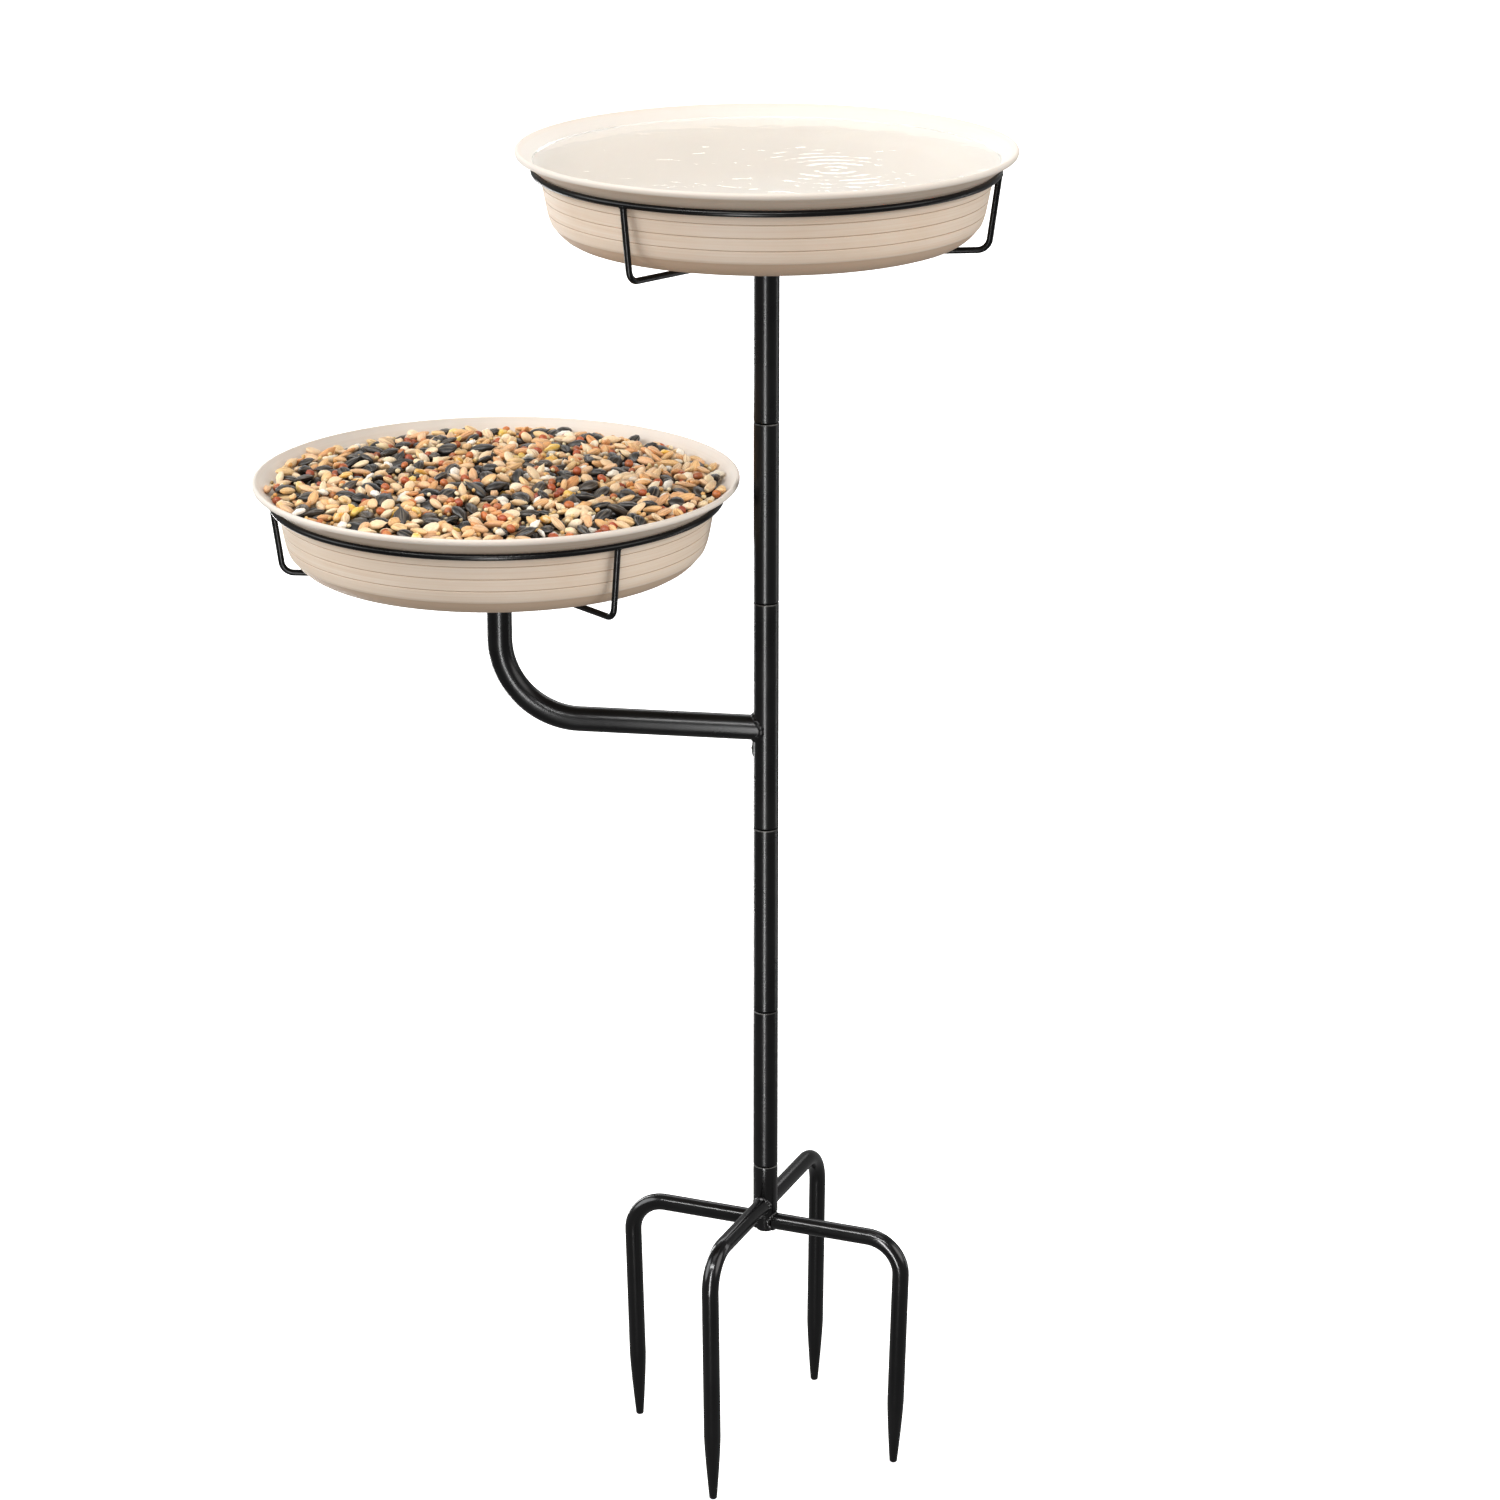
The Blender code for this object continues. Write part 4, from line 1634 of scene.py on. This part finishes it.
@dataclass
class Heap:
    """The growing surface of a pile of seeds, as heights on a fine grid.

    Attributes:
        floor_line: (radius, below the rim), mm, of the tray's inside.
        reach: The pile's radius, mm.
        cell: The grid's spacing, mm.
        depth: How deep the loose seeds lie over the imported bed, mm.
        chance: The source of everything that is left to chance.
        axis: The grid's places along one side, mm from the tray's axis.
        goal: The surface aimed at, over the grid.
        height: The surface so far.
    """

    floor_line: Sequence[Point]
    reach: float = 149.0
    cell: float = 0.75
    depth: float = 9.5
    chance: np.random.Generator = field(default_factory=lambda: np.random.default_rng(4417))
    axis: np.ndarray = field(init=False)
    goal: np.ndarray = field(init=False)
    height: np.ndarray = field(init=False)

    def __post_init__(self) -> None:
        """Lays out the grid, the surface aimed at, and the bed that the seeds fall on."""
        count = 2 * int(self.reach / self.cell) + 3
        self.axis = (np.arange(count) - count // 2) * self.cell
        x, y = np.meshgrid(self.axis, self.axis, indexing="ij")
        away = np.hypot(x, y)
        self.goal = self.surface(x, y)
        radii, drops = zip(*reversed(self.floor_line))
        self.height = np.maximum(self.goal - self.depth, -np.interp(away, radii, drops))
        self.height[away > self.reach - 1.0] = 99.0

    def surface(self, x: np.ndarray, y: np.ndarray) -> np.ndarray:
        """The pile's height over the rim, mm, at a place in the tray, mm from its axis."""
        away = np.hypot(x, y)
        back = y / self.reach
        dome = 5.5 * (1 - (away / self.reach) ** 2)
        rolling = 0.7 * np.sin(x / 19.0 + 1.1) * np.cos(y / 23.0)
        shore = np.clip((away - 120.0) / 28.0, 0.0, 1.0) ** 2
        return dome + rolling - 2.6 - 2.4 * back - 1.6 * shore * (1 + 0.5 * back)

    def drop(self, grain: Grain) -> tuple[np.ndarray, np.ndarray, np.ndarray] | None:
        """Lets one seed fall and come to rest.

        Args:
            grain: Its kind.

        Returns:
            Its place, its turned axes and its half sizes, in mm, or None where it finds no room.
        """
        chance = self.chance
        size = np.array(grain.size) * np.clip(1 + grain.spread * chance.normal(size=3), 0.7, 1.4)
        spots = chance.uniform(-self.reach, self.reach, (14, 2))
        spots = spots[np.hypot(*spots.T) < self.reach - size[1] - 0.8]
        cells = np.round(spots / self.cell).astype(int) + len(self.axis) // 2
        room = self.goal[cells[:, 0], cells[:, 1]] - self.height[cells[:, 0], cells[:, 1]]
        pick = int(np.argmax(room))
        i, j = cells[pick]
        half = int(size[0] / self.cell) + 2
        rows = slice(max(i - half, 0), i + half + 1)
        columns = slice(max(j - half, 0), j + half + 1)
        x = self.axis[rows][:, None] - self.axis[i]
        y = self.axis[columns][None, :] - self.axis[j]
        under = self.height[rows, columns]
        near = (np.hypot(x, y) < 0.85 * size[0]) & (under < 50)
        if near.sum() < 4 or room[pick] < 0.3:
            return None
        x_all, y_all = np.broadcast_arrays(x, y)
        reach = x_all[near], y_all[near], under[near]
        middle = reach[2].mean()
        slope_x = (reach[0] * (reach[2] - middle)).sum() / max((reach[0] ** 2).sum(), 0.01)
        slope_y = (reach[1] * (reach[2] - middle)).sum() / max((reach[1] ** 2).sum(), 0.01)
        lean = np.clip((slope_x, slope_y), -0.9, 0.9) + chance.normal(0.0, 0.22, 2)
        up = np.array([-lean[0], -lean[1], 1.0])
        up /= np.linalg.norm(up)
        yaw = chance.uniform(0, 2 * math.pi)
        ahead = np.array([math.cos(yaw), math.sin(yaw), 0.0])
        ahead -= up * (ahead @ up)
        ahead /= np.linalg.norm(ahead)
        turned_axes = np.stack([ahead, np.cross(up, ahead), up], axis=1)
        form = turned_axes @ np.diag(1 / size**2) @ turned_axes.T
        lift = form[0, 2] * x + form[1, 2] * y
        rest = form[0, 0] * x**2 + 2 * form[0, 1] * x * y + form[1, 1] * y**2 - 1
        inside = lift**2 - form[2, 2] * rest
        held = inside > 0
        root = np.sqrt(np.where(held, inside, 0.0))
        below = (-lift - root) / form[2, 2]
        above = (-lift + root) / form[2, 2]
        gaps = (under - below)[held]
        if gaps.size < 3 or gaps.max() > 50:
            return None
        height = float(np.quantile(gaps, 0.86))
        if height + size[2] * 0.6 > self.goal[i, j] + 2.2:
            return None
        self.height[rows, columns] = np.where(held, np.maximum(under, height + above), under)
        return np.array([self.axis[i], self.axis[j], height]), turned_axes, size


@dataclass
class SeedBed:
    """The seed mix in the lower tray: a packed bed with up to two thousand loose seeds over it.

    Attributes:
        tray: The tray that holds it.
        most: The most seeds that are dropped before the small ones.
        millet: How many small seeds fill the gaps.
        shade_depth: How deep between the seeds the painted shade is at its darkest, mm.
    """

    tray: Tray
    most: int = 3900
    millet: int = 500
    shade_depth: float = 6.0

    def bed(self, heap: Heap) -> None:
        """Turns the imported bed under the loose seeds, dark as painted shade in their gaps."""
        drop = heap.depth
        line = [(r, -(float(heap.surface(0.0, -r)) - drop)) for r in range(0, 131, 10)]
        line = [(float(r), max(below, 6.0) + 1.0) for r, below in line]
        line += [(136.0, 14.0), (135.0, 20.0), (129.0, 44.0), (122.0, 50.3), (0.0, 51.2)]
        piece = turned("seed_bed", self.tray.at_height(line), self.tray.axis, 96)
        hand_over(piece, self.tray.node, SeedGapShade("painted_shade_seed_gaps"))

    def scatter(
        self, grain: Grain, rests: Sequence[tuple[np.ndarray, np.ndarray, np.ndarray]], heap: Heap
    ) -> None:
        """Copies one master seed to every place where one of its kind came to rest.

        Args:
            grain: The kind of seed.
            rests: Place, axes and half sizes of each, in mm.
            heap: The heap that they lie in, and the source of each seed's own shade.
        """
        points, faces, along = grain.master()
        count = len(rests)
        size = np.stack([rest[2] for rest in rests])
        axes = np.stack([rest[1] for rest in rests])
        place = np.stack([rest[0] for rest in rests])
        spots = np.einsum("nij,nvj->nvi", axes, points[None] * size[:, None]) + place[:, None]
        # Painted shade: how far below the pile's surface each vertex lies, to darken it low down.
        sunk = (heap.surface(spots[..., 0], spots[..., 1]) + 1.0 - spots[..., 2]) / self.shade_depth
        spots *= MM
        spots += np.array([self.tray.axis[0], self.tray.axis[1], self.tray.rim])
        everything = [
            tuple(vertex + k * len(points) for vertex in face)
            for k in range(count)
            for face in faces
        ]
        mesh = bpy.data.meshes.new(grain.name)
        mesh.from_pydata(spots.reshape(-1, 3).tolist(), [], everything)
        mesh.shade_smooth()
        layer = mesh.uv_layers.new(name="grain")
        order = np.empty(len(mesh.loops), dtype=np.int32)
        mesh.loops.foreach_get("vertex_index", order)
        layer.data.foreach_set("uv", np.tile(along, (count, 1))[order].ravel())
        shade = mesh.attributes.new("shade", "FLOAT", "POINT")
        shades = heap.chance.uniform(0, 1, count)
        shade.data.foreach_set("value", np.repeat(shades, len(points)))
        low = mesh.attributes.new("sunk", "FLOAT", "POINT")
        low.data.foreach_set("value", np.clip(sunk, 0.0, 1.0).ravel())
        piece = bpy.data.objects.new(grain.name, mesh)
        bpy.context.scene.collection.objects.link(piece)
        hand_over(piece, self.tray.node, grain.skin)

    def build(self) -> None:
        """Drops the mix, fills its gaps, and models every seed."""
        heap = Heap(self.tray.inside())
        self.bed(heap)
        chance = heap.chance
        shares = np.array([grain.share for grain in MIX])
        kinds = chance.choice(len(MIX), self.most, p=shares / shares.sum())
        rests: dict[str, list] = {grain.name: [] for grain in (*MIX, MILLET)}
        for kind in kinds:
            rest = heap.drop(MIX[kind])
            if rest is not None:
                rests[MIX[kind].name].append(rest)
        for _ in range(self.millet):
            rest = heap.drop(MILLET)
            if rest is not None:
                rests[MILLET.name].append(rest)
        for grain in (*MIX, MILLET):
            self.scatter(grain, rests[grain.name], heap)


# ---------------------------------------------------------------- studio


@dataclass
class Studio:
    """A white glowing floor, soft light from all round, soft boxes for highlights, and the camera.

    Attributes:
        lens: The camera's focal length, mm, on a 36 mm sensor.
        pitch: How far the camera looks down, in radians.
        azimuth: How far round to the right it stands, in radians.
        distance: How far it stands from the point that it looks at.
        target: That point.
    """

    lens: float = 100.8
    pitch: float = math.radians(18.5)
    azimuth: float = math.radians(9.0)
    distance: float = 2.660
    target: tuple[float, float, float] = (-0.010005, -0.001585, 0.3325)

    def floor(self) -> None:
        """Lays the floor at the prongs' points, and sweeps it up far off, so no horizon shows."""
        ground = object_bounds()[0][2] - 0.5 * MM
        sweep = ((0.0, 0.0), (40.0, 0.0), (43.0, 0.5), (45.0, 1.8), (46.2, 4.0), (46.5, 9.0))
        line = [(radius, ground + rise) for radius, rise in sweep]
        floor = turned("studio_floor", line, (0.0, 0.0), 96)
        floor.data.materials.append(PaintedFloor("matt_white_floor_paint").material())
        floor.visible_glossy = False
        floor.visible_diffuse = False
        floor.visible_shadow = False
        floor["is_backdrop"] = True

    def lights(self) -> None:
        """Sets a dim surround, five wide suns, and five soft boxes that only draw highlights."""
        world = bpy.data.worlds.new("studio_surround")
        bpy.context.scene.world = world
        world.use_nodes = True
        world.node_tree.nodes.clear()
        add = partial(add_node, world.node_tree)
        surround = add("Background", {"Color": "#FFFFFF", "Strength": 0.28})
        add("OutputWorld", {"Surface": surround})
        # Name, where it shines from, strength and colour. Those in front and behind draw no
        # highlights.
        for name, spot, strength, colour in (
            ("left_sun", (-1.9, -0.4, 0.9), 2.35, "#FBFDFF"),
            ("right_sun", (1.9, -0.4, 1.0), 1.65, "#FFFDFB"),
            ("top_sun", (-0.1, -0.1, 2.0), 0.8, "#FFFFFF"),
            ("front_sun", (0.1, -2.0, 0.5), 0.74, "#FFEEDD"),
            ("back_sun", (-0.2, 2.0, 0.5), 0.5, "#FFEEDD"),
        ):
            sun = bpy.data.lights.new(name, "SUN")
            sun.energy = strength
            sun.angle = math.radians(42)
            sun.color = linear(colour)[:3]
            holder = self.hang(name, sun, spot, (0.0, 0.0, 0.0))
            holder.visible_glossy = name not in ("front_sun", "back_sun")
        # Name, degrees round from the front, height, distance, power, and width and height.
        for name, turn, height, distance, power, size in (
            ("front_strip", -3.0, 0.12, 0.78, 10.0, (0.09, 0.8)),
            ("right_strip", 118.0, 0.2, 0.78, 0.9, (0.07, 0.72)),
            ("back_strip", -132.0, 0.2, 0.78, 2.5, (0.07, 0.72)),
            ("front_band", -14.0, 1.5, 1.3, 40.0, (1.8, 0.12)),
            ("back_band", 186.0, 1.3, 1.6, 9.0, (1.8, 0.42)),
        ):
            box = bpy.data.lights.new(name, "AREA")
            box.shape = "RECTANGLE"
            box.size, box.size_y = size
            box.energy = power
            angle = math.radians(turn)
            spot = (distance * math.sin(angle), -distance * math.cos(angle), height)
            holder = self.hang(name, box, spot, (0.0, 0.0, min(height, 0.5)))
            holder.visible_camera = False
            holder.visible_diffuse = False
            holder.visible_transmission = False

    def hang(
        self,
        name: str,
        lamp: bpy.types.Light,
        spot: tuple[float, float, float],
        aim: tuple[float, float, float],
    ) -> bpy.types.Object:
        """Hangs a lamp at one place, facing another.

        Args:
            name: The new object's name.
            lamp: Its light data.
            spot: Where it hangs.
            aim: What it faces.

        Returns:
            The lamp's object.
        """
        holder = bpy.data.objects.new(name, lamp)
        holder.location = spot
        away = Vector(spot) - Vector(aim)
        holder.rotation_euler = away.to_track_quat("Z", "Y").to_euler()
        bpy.context.scene.collection.objects.link(holder)
        return holder

    def camera(self) -> None:
        """Stands the camera where it frames the whole feeder."""
        data = bpy.data.cameras.new("camera")
        data.lens = self.lens
        data.sensor_width = 36.0
        data.clip_end = 400.0
        holder = bpy.data.objects.new("camera", data)
        back = Vector(
            (
                math.sin(self.azimuth) * math.cos(self.pitch),
                -math.cos(self.azimuth) * math.cos(self.pitch),
                math.sin(self.pitch),
            )
        )
        holder.location = Vector(self.target) + back * self.distance
        holder.rotation_euler = (math.pi / 2 - self.pitch, 0.0, self.azimuth)
        bpy.context.scene.collection.objects.link(holder)
        bpy.context.scene.camera = holder

    def build(self) -> None:
        """Sets up the camera, the floor and the lights."""
        self.camera()
        self.floor()
        self.lights()
        bpy.context.scene.view_settings.view_transform = "Standard"


def main() -> None:
    """Builds every sub-assembly in turn, from the ground up."""
    logging.basicConfig(level=logging.INFO, format="%(name)s: %(message)s")
    Studio().build()
    GroundFork().build()
    for node, body in (
        ("pole_tube_bottom", "ground_stake"),
        ("pole_tube_lower", "ground_stake"),
        ("arm_tube", "arm_pole"),
        ("pole_tube_upper", "arm_pole"),
        ("pole_tube_top", "arm_pole"),
    ):
        PoleTube(node, body).build()
    SideArm().build()
    Cradle("upper", math.radians(2.5)).build()
    Cradle("lower", math.radians(-46.7)).build()
    upper, lower = Tray("water_tray", rinsed=0.9), Tray("seed_tray", rinsed=0.5)
    upper.build()
    lower.build()
    Water(upper).build()
    SeedBed(lower).build()


if __name__ == "__main__":
    main()
